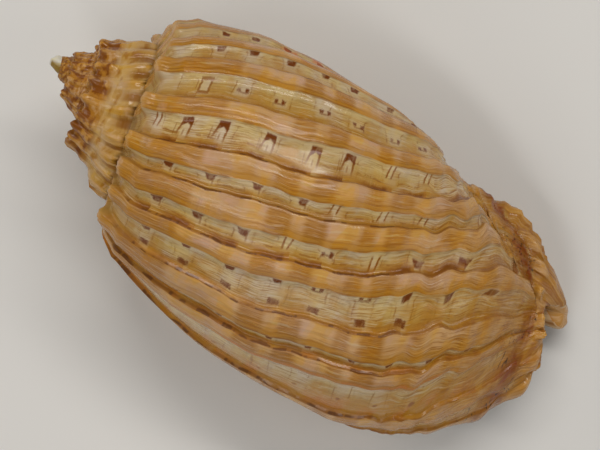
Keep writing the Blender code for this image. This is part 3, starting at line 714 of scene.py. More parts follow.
    # the end is cut slanting: it reaches further on the lip side and underneath, and the cut is a little hollow
    P = m.pts[0]
    x, y, z = P.T
    low = np.interp(z, [-28.0, -18.0, -6.0, 4.0], [14.0, 12.0, 4.0, -4.0])
    low += smooth((6.0 - y) / 12.0) * np.interp(z, [-28.0, -12.0, 2.0], [6.0, 6.0, 2.0])
    low -= 5.0 * np.exp(-((y + 2.0) ** 2 + (z + 8.0) ** 2) / 90.0) * smooth((x - 562.0) / 8.0)
    high = np.interp(y, [8.0, 15.0, 26.0, 33.0, 41.0, 51.0], [9.0, 8.0, 0.0, -5.0, -8.0, -8.0])
    start = np.interp(y, [0.0, 30.0], [546.0, 520.0])
    w = smooth((x - start) / 20.0) * smooth((20.0 - z) / 14.0)
    P[:, 0] = x + w * (low + (high - low) * smooth((y - 4.0) / 12.0))
    P[:, 0] += 6.0 * smooth((x - 556.0) / 12.0) * smooth((20.0 - y) / 14.0) * smooth((10.0 - z) / 10.0)
    soften(m, [576.0, -4.0, -9.0], 30.0, 6)
    soften(m, [-7.0, 3.5, 0.0], 9.0, 4)
    return m


def soften(m, centre, reach, rounds):
    """Round off the corners of the mesh near a point."""
    P = np.concatenate(m.pts)
    pairs = set()
    for f in m.faces:
        for i in range(len(f)):
            a, b = f[i - 1], f[i]
            pairs.add((a, b) if a < b else (b, a))
    e = np.array(sorted(pairs))
    w = smooth((reach - np.linalg.norm(P - np.array(centre), axis=1)) / (0.45 * reach))
    e = e[(w[e[:, 0]] > 0) | (w[e[:, 1]] > 0)]
    n = np.zeros(len(P))
    np.add.at(n, e[:, 0], 1)
    np.add.at(n, e[:, 1], 1)
    move = (w > 0) & (n > 0)
    for _ in range(rounds):
        total = np.zeros_like(P)
        np.add.at(total, e[:, 0], P[e[:, 1]])
        np.add.at(total, e[:, 1], P[e[:, 0]])
        P[move] += 0.5 * w[move, None] * (total[move] / n[move, None] - P[move])
    m.pts = [P]


def m_points(m, ids):
    return np.concatenate(m.pts)[np.asarray(ids)]


# ------------------------------------------------------------------ markings
# stations at which the spaces between the ribs carry a mark, on every rib alike
MARK_V = np.array([0.137, 0.208, 0.268, 0.341, 0.421, 0.481, 0.556, 0.622, 0.680, 0.725, 0.765, 0.800])
# style of the marks in each space: kind, height in the space, second row, size
# kinds: 1 arch with two legs, 2 dab, 3 ring, 4 round spot, 5 pair of lines, 6 pair of dabs
SPACES = (
    (2, 0.80, -9.0, 0.70), (4, 0.45, -9.0, 0.90), (2, 0.86, -9.0, 0.70), (2, 0.92, 0.26, 1.00), (2, 0.80, -9.0, 1.10),
    (2, 0.78, -9.0, 0.95), (1, 0.80, -9.0, 1.00), (3, 0.52, -9.0, 1.00), (2, 0.88, -9.0, 0.90), (2, 0.84, -9.0, 0.80),
    (1, 0.80, -9.0, 0.90), (2, 0.80, -9.0, 0.95), (2, 0.90, 0.30, 0.95), (3, 0.55, -9.0, 1.00), (2, 0.82, -9.0, 1.00),
    (1, 0.80, -9.0, 0.95), (2, 0.84, -9.0, 0.90), (2, 0.80, -9.0, 0.90),
)


def markings(faces, a):
    """Where each corner lies in its space: distance from the nearest mark, its height and kind; second row,
    place between two marks, and width of the space."""
    n = np.array([len(f) for f in faces])
    first = np.concatenate([[0], np.cumsum(n)[:-1]])

    def mean(x):
        return np.repeat(np.add.reduceat(x, first) / n, n)

    q, sl, v, t, zone, psi = a[:, 0], a[:, 1], a[:, 2], a[:, 3], a[:, 4], a[:, 6]
    # arc length table
    gp = np.arange(LIP_PSI - 4.0, PERIOD + LIP_PSI + 8.0, 4.0)
    gv = np.linspace(0.0, 1.0, 101)
    table = line_length(gp, gv)

    def length(p, vv):
        x = np.clip((p - gp[0]) / (gp[1] - gp[0]), 0, len(gp) - 1.001)
        y = np.clip(vv, 0, 0.9999) * 100.0
        i, j = x.astype(int), y.astype(int)
        fx, fy = x - i, y - j
        return ((1 - fx) * (1 - fy) * table[i, j] + fx * (1 - fy) * table[i + 1, j]
                + (1 - fx) * fy * table[i, j + 1] + fx * fy * table[i + 1, j + 1])

    k = np.floor(mean(q) - 0.25)
    kk = (k % len(RIBS)).astype(int)
    style = np.array(SPACES)[kk]
    vm = mean(v)
    m = np.argmin(np.abs(vm[:, None] - MARK_V[None, :]), axis=1)
    v_mark = MARK_V[m] + (hashed(k * 13.0 + m, 3.0) - 0.5) * 0.010
    d = sl - length(psi, unfront(360.0 * t, v_mark))
    kind, w0, w1, size = style[:, 0].copy(), style[:, 1].copy(), style[:, 2].copy(), style[:, 3].copy()
    w0 = w0 + (hashed(k * 5.0 + m, 6.0) - 0.5) * 0.07
    # the arches give way to pairs of thin lines towards both ends, the dabs too
    kind[(kk == 6) & ((m == 0) | (m >= 6))] = 5
    kind[(kk == 7) & (m >= 2)] = 6
    kind[(kk == 4) & np.isin(m, (4, 6))] = 5
    kind[(kk == 4) & (m == 5)] = 6
    w0[(kk == 4) & (m >= 6)] = 0.45
    kind[(kk == 5) & (m >= 5)] = 5
    kind[(kk == 3) & np.isin(m, (5, 6))] = 6
    w1[(kk == 3) & (m >= 8)] = -9.0
    size[(kk == 1) & (m < 8)] = 0.55
    size[(kk == 1) & (m >= 9)] = 1.15
    gone = (zone > 0.5) | (t > 1.06) | (m == len(MARK_V) - 1) | ((kk != 1) & (m >= 10)) | ((kk != 6) & (m == 0))
    d = np.where(gone, 99.0, d)
    left = np.clip(np.searchsorted(MARK_V, vm) - 1, 0, len(MARK_V) - 2)
    e = (v - MARK_V[left]) / (MARK_V[left + 1] - MARK_V[left])
    # width of the space in parts
    edges = [(RIBS[i][0], (RIBS[i + 1][0] - RIBS[i + 1][1]) if i + 1 < len(RIBS) else PERIOD + RIBS[0][0] - RIBS[0][1])
             for i in range(len(RIBS))]
    gap = np.array([b - c for c, b in edges])[kk]
    r = base(np.minimum(t, START_TURN), np.where(v < 0.806, unfront(360.0 * t, v), v))[0]
    width = gap * np.pi / 180.0 * r
    foot = np.where((t > 1.0) & (v < 0.303) & (zone < 0.5), rib_order(following(360.0 * t, v)), 0.0)
    return np.stack([d, w0, kind, w1, e, width, size, k, foot], -1)


def to_mesh(m):
    pts = np.concatenate(m.pts)
    rot = Matrix.Rotation(math.radians(ROLL_DEG), 3, "X") @ Matrix.Rotation(math.radians(PITCH_DEG), 3, "Y")
    pts = (pts @ np.array(rot).T - SET_DOWN) * SCALE_M
    pts[:, 2] = np.maximum(pts[:, 2], 0.00001)
    used = sorted({i for f in m.faces for i in f})
    new = {o: k for k, o in enumerate(used)}
    me = bpy.data.meshes.new("harp_shell")
    me.from_pydata([tuple(pts[i]) for i in used], [], [[new[i] for i in f] for f in m.faces])
    a = np.array(m.vals)
    a = np.concatenate([a, markings(m.faces, a)], 1)
    for name, cols in (("grow", (0, 1, 2)), ("where", (3, 4, 5)), ("mark", (7, 8, 9)), ("space", (10, 11, 12)),
                       ("more", (13, 14, 15))):
        at = me.attributes.new(name, "FLOAT_VECTOR", "CORNER")
        at.data.foreach_set("vector", a[:, list(cols)].astype(np.float32).ravel())
    bm = bmesh.new()
    bm.from_mesh(me)
    bmesh.ops.recalc_face_normals(bm, faces=bm.faces)
    if bm.calc_volume(signed=True) < 0:
        bmesh.ops.reverse_faces(bm, faces=bm.faces)
    open_edges = sum(1 for e in bm.edges if len(e.link_faces) != 2)
    print("fine shell:", len(me.polygons), "faces,", sum(len(p.vertices) - 2 for p in me.polygons), "triangles,",
          open_edges, "open edges")
    bm.to_mesh(me)
    bm.free()
    me.shade_smooth()
    ob = bpy.data.objects.new("harp_shell", me)
    bpy.context.scene.collection.objects.link(ob)
    return ob


shell = to_mesh(build_fine())
# ------------------------------------------------------------------ material
class Net:
    """Small helper: numbers in a node tree that can be added and multiplied."""

    def __init__(self, name):
        self.mat = bpy.data.materials.new(name)
        self.mat.use_nodes = True
        self.nt = self.mat.node_tree
        self.bsdf = self.nt.nodes["Principled BSDF"]

    def put(self, sock, x):
        if isinstance(x, Num):
            self.nt.links.new(x.s, sock)
        else:
            sock.default_value = x

    def math(self, op, *xs, clamp=False):
        n = self.nt.nodes.new("ShaderNodeMath")
        n.operation = op
        n.use_clamp = clamp
        for i, x in enumerate(xs):
            self.put(n.inputs[i], x)
        return Num(self, n.outputs[0])

    def vec_attr(self, name):
        a = self.nt.nodes.new("ShaderNodeAttribute")
        a.attribute_name = name
        s = self.nt.nodes.new("ShaderNodeSeparateXYZ")
        self.nt.links.new(a.outputs["Vector"], s.inputs[0])
        return [Num(self, s.outputs[i]) for i in range(3)]

    def step(self, x, a, b):
        """Smooth 0..1 as x goes from a to b."""
        n = self.nt.nodes.new("ShaderNodeMapRange")
        n.interpolation_type = "SMOOTHSTEP"
        lo, hi, f0, f1 = (a, b, 0.0, 1.0)
        self.put(n.inputs["Value"], x)
        if not isinstance(a, Num) and not isinstance(b, Num) and a > b:
            lo, hi, f0, f1 = b, a, 1.0, 0.0
        self.put(n.inputs["From Min"], lo)
        self.put(n.inputs["From Max"], hi)
        n.inputs["To Min"].default_value = f0
        n.inputs["To Max"].default_value = f1
        return Num(self, n.outputs["Result"])

    def noise(self, x, y, z=0.0, scale=1.0, detail=2.0, rough=0.5):
        c = self.nt.nodes.new("ShaderNodeCombineXYZ")
        for i, v in enumerate((x, y, z)):
            self.put(c.inputs[i], v)
        n = self.nt.nodes.new("ShaderNodeTexNoise")
        n.noise_dimensions = "3D"
        self.nt.links.new(c.outputs[0], n.inputs["Vector"])
        n.inputs["Scale"].default_value = scale
        n.inputs["Detail"].default_value = detail
        n.inputs["Roughness"].default_value = rough
        return Num(self, n.outputs[0])

    def hash(self, x, k=0.0):
        n = self.nt.nodes.new("ShaderNodeTexWhiteNoise")
        n.noise_dimensions = "2D"
        c = self.nt.nodes.new("ShaderNodeCombineXYZ")
        self.put(c.inputs[0], x)
        c.inputs[1].default_value = k
        self.nt.links.new(c.outputs[0], n.inputs["Vector"])
        return Num(self, n.outputs["Value"])

    def col(self, rgb):
        n = self.nt.nodes.new("ShaderNodeRGB")
        n.outputs[0].default_value = (rgb[0], rgb[1], rgb[2], 1.0)
        return n.outputs[0]

    def mix(self, a, b, f):
        """Colour a to b by f."""
        n = self.nt.nodes.new("ShaderNodeMix")
        n.data_type = "RGBA"
        n.clamp_factor = True
        self.put(n.inputs[0], f)
        for sock, x in ((n.inputs[6], a), (n.inputs[7], b)):
            if isinstance(x, tuple):
                sock.default_value = (x[0], x[1], x[2], 1.0)
            else:
                self.nt.links.new(x, sock)
        return n.outputs[2]

    def tint(self, a, rgb, f):
        """Colour a, multiplied by rgb where f is 1."""
        n = self.nt.nodes.new("ShaderNodeMix")
        n.data_type = "RGBA"
        n.blend_type = "MULTIPLY"
        self.put(n.inputs[0], f)
        self.nt.links.new(a, n.inputs[6])
        n.inputs[7].default_value = (rgb[0], rgb[1], rgb[2], 1.0)
        return n.outputs[2]

    def lerp(self, a, b, f):
        return a + (b - a) * f


class Num:
    def __init__(self, net, s):
        self.net, self.s = net, s

    def __add__(self, o): return self.net.math("ADD", self, o)
    __radd__ = __add__
    def __sub__(self, o): return self.net.math("SUBTRACT", self, o)
    def __rsub__(self, o): return self.net.math("SUBTRACT", o, self)
    def __mul__(self, o): return self.net.math("MULTIPLY", self, o)
    __rmul__ = __mul__
    def __truediv__(self, o): return self.net.math("DIVIDE", self, o)
    def floor(self): return self.net.math("FLOOR", self)
    def fract(self): return self.net.math("FRACT", self)
    def abs(self): return self.net.math("ABSOLUTE", self)
    def sin(self): return self.net.math("SINE", self)
    def max(self, o): return self.net.math("MAXIMUM", self, o)
    def min(self, o): return self.net.math("MINIMUM", self, o)
    def clip(self): return self.net.math("ADD", self, 0.0, clamp=True)
    def pow(self, e): return self.net.math("POWER", self, e)


# colours of the shell, linear
PEACH = (0.50, 0.262, 0.085)
PALE = (0.58, 0.345, 0.150)
BAR = (0.37, 0.150, 0.016)
BARD = (0.23, 0.078, 0.006)
GOLD = (0.45, 0.205, 0.016)
ORANGE = (0.47, 0.155, 0.006)
CREAM = (0.53, 0.365, 0.138)
GREY = (0.42, 0.298, 0.104)
TILE = (0.43, 0.220, 0.032)
POOL = (0.17, 0.042, 0.001)
CAP = (0.165, 0.038, 0.001)
LEG = (0.24, 0.080, 0.004)
DARK = (0.080, 0.020, 0.002)
WHITE = (0.62, 0.500, 0.320)
OLIVE = (0.17, 0.078, 0.008)
RUST = (0.22, 0.045, 0.004)
INSIDE = (0.56, 0.37, 0.19)
PINK = (0.60, 0.335, 0.165)
FACET = (0.36, 0.155, 0.050)
FURROW_DARK = (0.010, 0.006, 0.004)
HORN = (0.30, 0.185, 0.028)


def shell_material():
    N = Net("harp_shell")
    q, s, v = N.vec_attr("grow")
    t, zone, glz = N.vec_attr("where")
    d, w0, kind = N.vec_attr("mark")
    w1, e, width = N.vec_attr("space")
    size, cell, foot = N.vec_attr("more")
    wob = N.noise(s * 0.022, q * 0.9, 0.0, 1.0, 2.0) - 0.5
    qq = q + wob * 0.045
    rib = (q - 0.25).floor()
    pos = qq - rib                                # 0 to 0.5 on the rib, 0.5 to 1 in the space after it
    u = pos * 2.0                                 # across a rib, young to old edge
    w = (pos * 2.0 - 1.0).clip()                  # across the space
    u = u - (u / 2.0).floor() * 2.0
    on = N.step((pos - 0.25).abs(), 0.262, 0.238).max(N.step(pos, 0.985, 1.005))
    u = u.min(1.0)
    h1, h2, h3 = N.hash(cell, 1.0), N.hash(cell, 2.0), N.hash(cell, 3.0)
    rnum = (q + 0.25).floor()                     # one number per rib
    g1, g2 = N.hash(rnum, 1.0), N.hash(rnum, 2.0)
    front = N.step(v, 0.58, 0.70)                 # towards the canal
    fine = N.noise(q * 26.0, s * 0.030, 3.0, 1.0, 3.0, 0.6)      # streaks along the growth lines
    fine2 = N.noise(q * 60.0, s * 0.045, 9.0, 1.0, 2.0, 0.6)
    cloud = N.noise(q * 0.8, s * 0.03, 5.0, 1.0, 3.0, 0.5)
    blur = N.noise(q * 2.2, s * 0.045, 1.0, 1.0, 2.0)
    spot = N.noise(q * 5.0, s * 0.14, 27.0, 1.0, 3.0, 0.6)

    # bars of colour that run round the shell and show on the ribs
    vb = v + (g1 - 0.5) * 0.014 + (fine - 0.5) * 0.012
    bar = 0.0
    for a, b, k in ((0.100, 0.256, 0.9), (0.368, 0.412, 0.95), (0.432, 0.470, 0.95), (0.520, 0.548, 0.8),
                    (0.560, 0.603, 0.9), (0.640, 0.662, 0.7), (0.700, 0.720, 0.6)):
        one = N.step(vb, a - 0.004, a + 0.008) * N.step(vb, b + 0.004, b - 0.008) * k
        bar = one if not isinstance(bar, Num) else bar.max(one)
    bar = bar * N.lerp(0.70, 1.0, g2)
    pale = N.step((v - 0.348).abs(), 0.022, 0.010).max(N.step((v - 0.487).abs(), 0.018, 0.008))
    ribc = N.mix(PEACH, PALE, N.step(cloud, 0.40, 0.62) * 0.5)
    ribc = N.mix(ribc, PALE, pale * 0.55)
    ribc = N.mix(ribc, BAR, bar * N.lerp(0.60, 1.0, N.step(fine, 0.36, 0.60)))
    ribc = N.mix(ribc, BARD, bar * N.step(fine, 0.50, 0.66) * 0.40)
    ribc = N.mix(ribc, (0.50, 0.245, 0.022), N.step(v, 0.185, 0.12) * 0.75)
    ribc = N.mix(ribc, BAR, N.step(fine, 0.53, 0.66) * 0.48)
    ribc = N.mix(ribc, BARD, N.step(fine2, 0.56, 0.68) * 0.30)
    ribc = N.mix(ribc, GOLD, N.step(fine, 0.50, 0.40) * N.step(blur, 0.40, 0.58) * 0.55)
    ribc = N.mix(ribc, PALE, N.step(fine2, 0.45, 0.34) * 0.50)
    # painted shade on the young side of each rib: a gold foot with a thin brown line under it, darker still at the
    # edge; and a painted highlight as a pale crest by the old edge
    ribc = N.mix(ribc, GOLD, N.step(u, 0.42, 0.16) * 0.70)
    ribc = N.mix(ribc, BARD, N.step((u - 0.24 + (blur - 0.5) * 0.16).abs(), 0.070, 0.020) * N.step(fine, 0.40, 0.52) * N.lerp(0.30, 0.65, bar))
    ribc = N.mix(ribc, BARD, N.step(u, 0.12, 0.0) * N.lerp(0.10, 0.75, bar.max(N.step(blur, 0.48, 0.60))))
    ribc = N.mix(ribc, PALE, N.step((u - 0.80).abs(), 0.22, 0.06) * N.lerp(0.55, 0.10, bar))
    ribc = N.mix(ribc, PINK, (1.0 - bar) * N.step(blur + (pale - 0.5) * 0.12, 0.44, 0.58) * N.step((u - 0.62).abs(), 0.40, 0.15) * 0.55)
    ribc = N.mix(ribc, (0.42, 0.175, 0.010), bar * N.step((u - 0.55).abs(), 0.45, 0.25) * 0.40)
    ribc = N.mix(ribc, BARD, bar * N.step(fine2, 0.50, 0.60) * 0.42)
    # thin whitish streaks along the ribs: partly pale shell colour, partly painted highlight
    ribc = N.mix(ribc, WHITE, N.step((u - 0.62 + (blur - 0.5) * 0.3).abs(), 0.10, 0.02) * N.step(fine, 0.50, 0.42) * 0.34)
    ribc = N.mix(ribc, WHITE, N.step((u - 0.34 + (cloud - 0.5) * 0.4).abs(), 0.06, 0.015) * N.step(fine2, 0.48, 0.40) * 0.30)
    # the front of the ribs breaks up into fine wavy lines
    ribc = N.mix(ribc, GOLD, front * N.step(blur, 0.42, 0.60) * 0.60)
    ribc = N.mix(ribc, BARD, front * N.step(fine2, 0.52, 0.62) * 0.60)
    ribc = N.mix(ribc, PALE, front * N.step(fine, 0.50, 0.40) * 0.40)
    # one broad orange border on the second rib from the lip
    edge1 = N.math("COMPARE", rnum, 2.0, 0.3) * N.step(u, 0.24, 0.14) * N.step(v, 0.22, 0.28)
    ribc = N.mix(ribc, ORANGE, edge1 * N.lerp(0.35, 0.9, N.step(blur, 0.40, 0.58)))

    # spaces between the ribs: cream blocks from mark to mark, gold along their lower side
    tone = N.hash(cell, 7.0)
    space = N.mix(CREAM, GREY, N.step(cloud, 0.40, 0.60) * 0.6)
    space = N.mix(space, TILE, N.step(tone + (w - 0.5) * 0.8, 0.50, 0.12) * 0.60)
    space = N.mix(space, WHITE, N.step(w + (spot - 0.5) * 0.3, 0.52, 0.90) * N.lerp(0.22, 0.62, h2))
    space = N.mix(space, TILE, N.step(w + (spot - 0.5) * 0.2, 0.56, 0.20) * N.lerp(0.45, 0.95, h1))
    space = N.mix(space, GOLD, N.step(w, 0.22, 0.04) * 0.60)
    space = N.mix(space, GOLD, N.step(blur, 0.56, 0.68) * 0.40)
    space = N.mix(space, GOLD, N.step(cloud + (tone - 0.5) * 0.22, 0.48, 0.58) * N.step(w, 0.98, 0.66) * 0.62)
    space = N.mix(space, BAR, N.step(fine, 0.52, 0.62) * 0.42)
    space = N.mix(space, OLIVE, N.step(fine2, 0.56, 0.64) * 0.34)
    space = N.mix(space, WHITE, N.step(fine, 0.45, 0.36) * 0.40)
    # faint lines that follow the outline of each block
    se, sw0 = e.min(1.0 - e) * 42.0 - 7.0, (1.0 - w) * width - 1.0
    # rounded corners: the smaller of the two distances, eased where they are alike
    side = se.min(sw0) - (3.0 - (se - sw0).abs()).max(0.0) * 0.45 + (spot - 0.5) * 3.0
    side = side + (blur - 0.5) * 9.0
    ring = N.step((side - 2.0).abs(), 1.1, 0.3) * N.step(w, 0.22, 0.42)
    ring2 = N.step((side - 5.5).abs(), 1.3, 0.2) * N.step(w, 0.28, 0.46)
    broken = N.step(spot, 0.43, 0.56)
    space = N.mix(space, LEG, ring * broken * N.lerp(0.20, 0.60, N.step(se, 6.0, 1.0)))
    space = N.mix(space, OLIVE, ring2 * N.lerp(0.0, 0.24, h2) * broken)
    space = N.mix(space, WHITE, N.step(side, 1.5, -2.0) * N.step(w, 0.2, 0.4) * 0.20)
    space = N.mix(space, TILE, front * 0.45)
    space = N.mix(space, GOLD, front * N.step(fine, 0.50, 0.60) * 0.60)
    space = N.mix(space, WHITE, front * N.step(fine, 0.47, 0.38) * 0.35)
    space = N.mix(space, BARD, front * N.step(fine2, 0.53, 0.61) * 0.50)

    # here and there the blocks carry a painted highlight: a silvery patch of painted glints crossed by fine threads
    glint_patch = N.step(N.noise(q * 0.95, s * 0.018, 51.0, 1.0, 1.0), 0.55, 0.63) * N.step(w, 0.02, 0.16)
    space = N.mix(space, WHITE, glint_patch * N.lerp(0.10, 0.60, N.step(fine2, 0.52, 0.42)))
    space = N.mix(space, LEG, glint_patch * N.step(fine2, 0.53, 0.60) * 0.34)

    # marks
    rough = (N.noise(s * 0.33, q * 16.0, 2.0, 1.0, 2.0) - 0.5) * 2.6
    dd = d / size
    ad = (dd + rough).abs()
    inside = N.step(w, 0.02, 0.08) * N.step(w, 0.995, 0.96)

    def at(k):
        return N.math("COMPARE", kind, float(k), 0.3) * inside

    y = ((w0 - w) * width) / size                # below the centre of the mark
    y2 = ((w1 - w) * width) / size
    ya = (y + rough * 0.6).abs()
    # a dab hangs from the rib above: wide at the top, narrower and paler below
    box = N.step(ad + y * N.lerp(0.10, 0.60, h3) - (spot - 0.5) * 4.0, 6.0, 3.6) * N.step((y - 0.4 + rough * 0.7 + dd * (h2 - 0.5) * 0.5).abs(), N.lerp(3.4, 5.0, h3), 2.0)
    deep = N.lerp(0.70, 1.0, N.step(spot, 0.38, 0.54))
    # arch
    k1 = at(1)
    tongue = N.step(dd.abs() - (y - 2.0) * 0.30, 2.0, 0.8) * N.step(dd.abs(), 4.6, 3.2) * N.step(y, 0.2, 2.0) * N.step(y, 20.0, 12.0)
    leg_l = N.step((dd + 4.4 + y * 0.24 + rough * 0.45).abs(), 1.7, 0.5) * N.step(y, -3.0, 0.0) * N.step(y, 17.0, 7.0)
    leg_r = N.step((dd - 4.6 + y * 0.03 + rough * 0.45).abs(), 1.6, 0.5) * N.step(y, -3.0, 0.0) * N.step(y, 21.0, 9.0)
    drop = N.step((dd + 1.2 + rough * 0.2).abs(), 1.3, 0.4) * N.step((y - 11.5).abs(), 4.5, 1.5)
    thin = N.step((dd + 10.5 + rough * 0.5).abs(), 1.0, 0.3) * N.step((y - 9.0).abs(), 8.0, 4.0)
    crown = N.step(ad, 6.2, 4.4) * N.step(y + rough * 0.5, -4.8, -2.8) * N.step(y - dd.abs() * 0.7 + rough * 0.4, 2.6, 0.4)
    space = N.mix(space, WHITE, k1 * tongue * N.lerp(0.25, 0.62, h2))
    space = N.mix(space, LEG, k1 * thin * 0.50)
    space = N.mix(space, LEG, k1 * drop * 0.55)
    space = N.mix(space, LEG, k1 * leg_l.max(leg_r) * 0.90)
    space = N.mix(space, CAP, k1 * crown * deep)
    # dab with a paler ring round it
    k2 = at(2)
    halo = N.step(ad.max(ya * 1.2) + (spot - 0.5) * 9.0, 9.5, 4.5)
    space = N.mix(space, WHITE, k2 * halo * 0.24)
    space = N.mix(space, CAP, k2 * box * deep)
    tail = N.step((dd - 3.4 + rough * 0.3).abs(), 1.4, 0.5) * N.step(y, 0.0, 1.5) * N.step(y, 10.0, 5.0)
    space = N.mix(space, LEG, k2 * tail * N.step(h3, 0.35, 0.6) * 0.6)
    # second row
    yb = (y2 + rough * 0.9 + dd * (h3 - 0.5) * 0.9).abs()
    dim2 = N.lerp(3.2, 5.6, h2) + (spot - 0.5) * 5.0
    box2 = N.step(ad.max(yb * 1.7) - dim2, 1.4, -1.2) * inside
    space = N.mix(space, WHITE, N.step(ad.max(yb * 1.2) + (spot - 0.5) * 9.0, 9.0, 5.0) * inside * 0.20)
    space = N.mix(space, N.mix(POOL, CAP, 0.6), box2 * deep * 0.95)
    # ring
    k3 = at(3)
    out = N.step((ad.max(ya * 0.62) - 4.8).abs(), 1.7, 0.5)
    space = N.mix(space, WHITE, k3 * N.step(ad.max(ya * 0.62), 4.6, 3.2) * 0.5)
    space = N.mix(space, LEG, k3 * out * 0.80)
    # round spot
    k4 = at(4)
    rr = N.math("SQRT", dd * dd + y * y * 1.3) + rough * 0.5
    space = N.mix(space, TILE, k4 * N.step(rr, 8.0, 4.5) * 0.7)
    space = N.mix(space, CAP, k4 * N.step(rr, 5.6, 2.6) * 0.85)
    # pair of lines
    k5 = at(5)
    two = N.step(((dd + y * (h3 - 0.5) * 0.7 + rough * 0.5).abs() - N.lerp(2.2, 4.4, h2) + y * (h1 - 0.5) * 0.35).abs(), 1.5, 0.4) * N.step((y + (h2 - 0.5) * 6.0).abs(), 8.5, 5.0)
    space = N.mix(space, WHITE, k5 * N.step(ad, 3.2, 1.8) * N.step(ya, 8.5, 6.0) * 0.4)
    space = N.mix(space, LEG, k5 * two * deep)
    # two dabs side by side, joined by a thin line
    k6 = at(6)
    pair = N.step(((ad - 4.0).abs()).max((y + rough * 0.8 - dd.abs() * (h3 - 0.5) * 1.6).abs() * 0.75) - (spot - 0.5) * 4.0, 2.9, 0.9)
    link = N.step(ad, 5.0, 4.0) * N.step((y - 2.4 + rough).abs(), 1.7, 0.5)
    space = N.mix(space, WHITE, k6 * halo * 0.28)
    space = N.mix(space, CAP, k6 * pair.max(link * 0.6) * deep)

    # pools of brown where each block meets the rib below it, deepening away from the apex
    along = N.step(e, 0.16, 0.75) * N.step(e, 0.98, 0.90)
    wp = (w + (spot - 0.5) * 0.22) * width / 20.0
    much = N.step(N.hash(cell, 5.0) + (blur - 0.5) * 0.9, 0.10, 0.62)
    near = N.step((rib - 1.5).abs(), 1.0, 0.6)    # the two spaces next to the last rib
    along = along * (1.0 - near * 0.8)
    space = N.mix(space, N.mix(GOLD, ORANGE, N.step(blur, 0.42, 0.58)), near * N.step(w + (spot - 0.5) * 0.4, 0.75, 0.20) * 0.75)
    space = N.mix(space, BAR, N.step(e, 0.05, 0.45) * N.step(wp, 0.46, 0.16) * N.lerp(0.45, 0.95, much) * N.step(width, 8.0, 16.0))
    space = N.mix(space, POOL, along * N.step(wp, 0.36, 0.10) * much * N.step(v, 0.12, 0.15) * N.lerp(0.30, 0.85, N.step(width, 8.0, 16.0)))
    # a second line of brown dashes runs through the middle of some blocks
    mid = N.step((w - 0.40 + (blur - 0.5) * 0.25).abs() * width, 1.5, 0.4) * N.step(h3, 0.45, 0.8) * N.step(e, 0.1, 0.3) * N.step(e, 0.95, 0.7)
    space = N.mix(space, LEG, mid * broken * 0.55)
    # thin shade under the young edge of the rib above
    space = N.mix(space, OLIVE, N.step(w * width, width - 2.0, width - 0.4) * N.lerp(0.20, 0.62, N.step(blur, 0.42, 0.58)))

    col = N.mix(space, ribc, on)
    # orange where the last ribs meet the spaces
    tail1 = N.step((rnum - 1.5).abs(), 1.0, 0.6) * N.step(u, 0.34, 0.10) * N.step(v, 0.16, 0.22)
    col = N.mix(col, N.mix(ORANGE, BAR, 0.3), tail1 * on * N.step(blur, 0.38, 0.55) * 0.55)
    # broken dark line on the old edge of every rib
    dn = N.noise(s * 0.085, rnum * 3.7, 2.0, 1.0, 2.0)
    dash = N.step(dn, 0.46, 0.54)
    off = ((pos - 0.500) * width * 2.0 - 0.6 + (spot - 0.5) * 1.2).abs()
    line = N.step(off, 1.5, 0.3)
    thick = N.step(off - dash * 0.55 - (blur - 0.5) * 2.0, 0.65, -0.25)
    col = N.mix(col, DARK, thick * dash * N.step(v, 0.12, 0.15) * N.step(v, 0.66, 0.58) * 0.85)
    col = N.mix(col, BARD, line * (1.0 - dash * 0.5) * 0.55)
    col = N.mix(col, BARD, line * N.step(v, 0.56, 0.62) * N.step(blur, 0.42, 0.55) * 0.6)
    # orange-red stain high on the back, on two of the ribs
    far = N.step((q - 10.0).abs(), 0.9, 0.5) * N.step(v, 0.30, 0.36) * N.step(v, 0.50, 0.44)
    col = N.mix(col, (0.50, 0.105, 0.010), far * N.step(N.noise(s * 0.05, q * 3.0, 11.0, 1.0, 1.0), 0.47, 0.60) * 0.75)

    # shoulder and ramp: raised orange lamellae over gold-brown
    ramp = N.step(v, 0.118, 0.092)
    rampc = N.mix(N.mix(CREAM, TILE, 0.45), N.mix(GOLD, PALE, 0.40), on)
    rampc = N.mix(rampc, BAR, N.step(N.noise(q * 3.0, s * 0.2, 4.0, 1.0, 2.0), 0.48, 0.62) * 0.60)
    # painted shade: dark olive in the recesses between the lamellae, near the suture
    rampc = N.mix(rampc, OLIVE, (1.0 - on) * N.step(v, 0.045, 0.015) * 0.60)
    rampc = N.mix(rampc, PALE, N.step((v - 0.100).abs(), 0.014, 0.003) * on * 0.7)
    col = N.mix(col, rampc, ramp * 0.90)

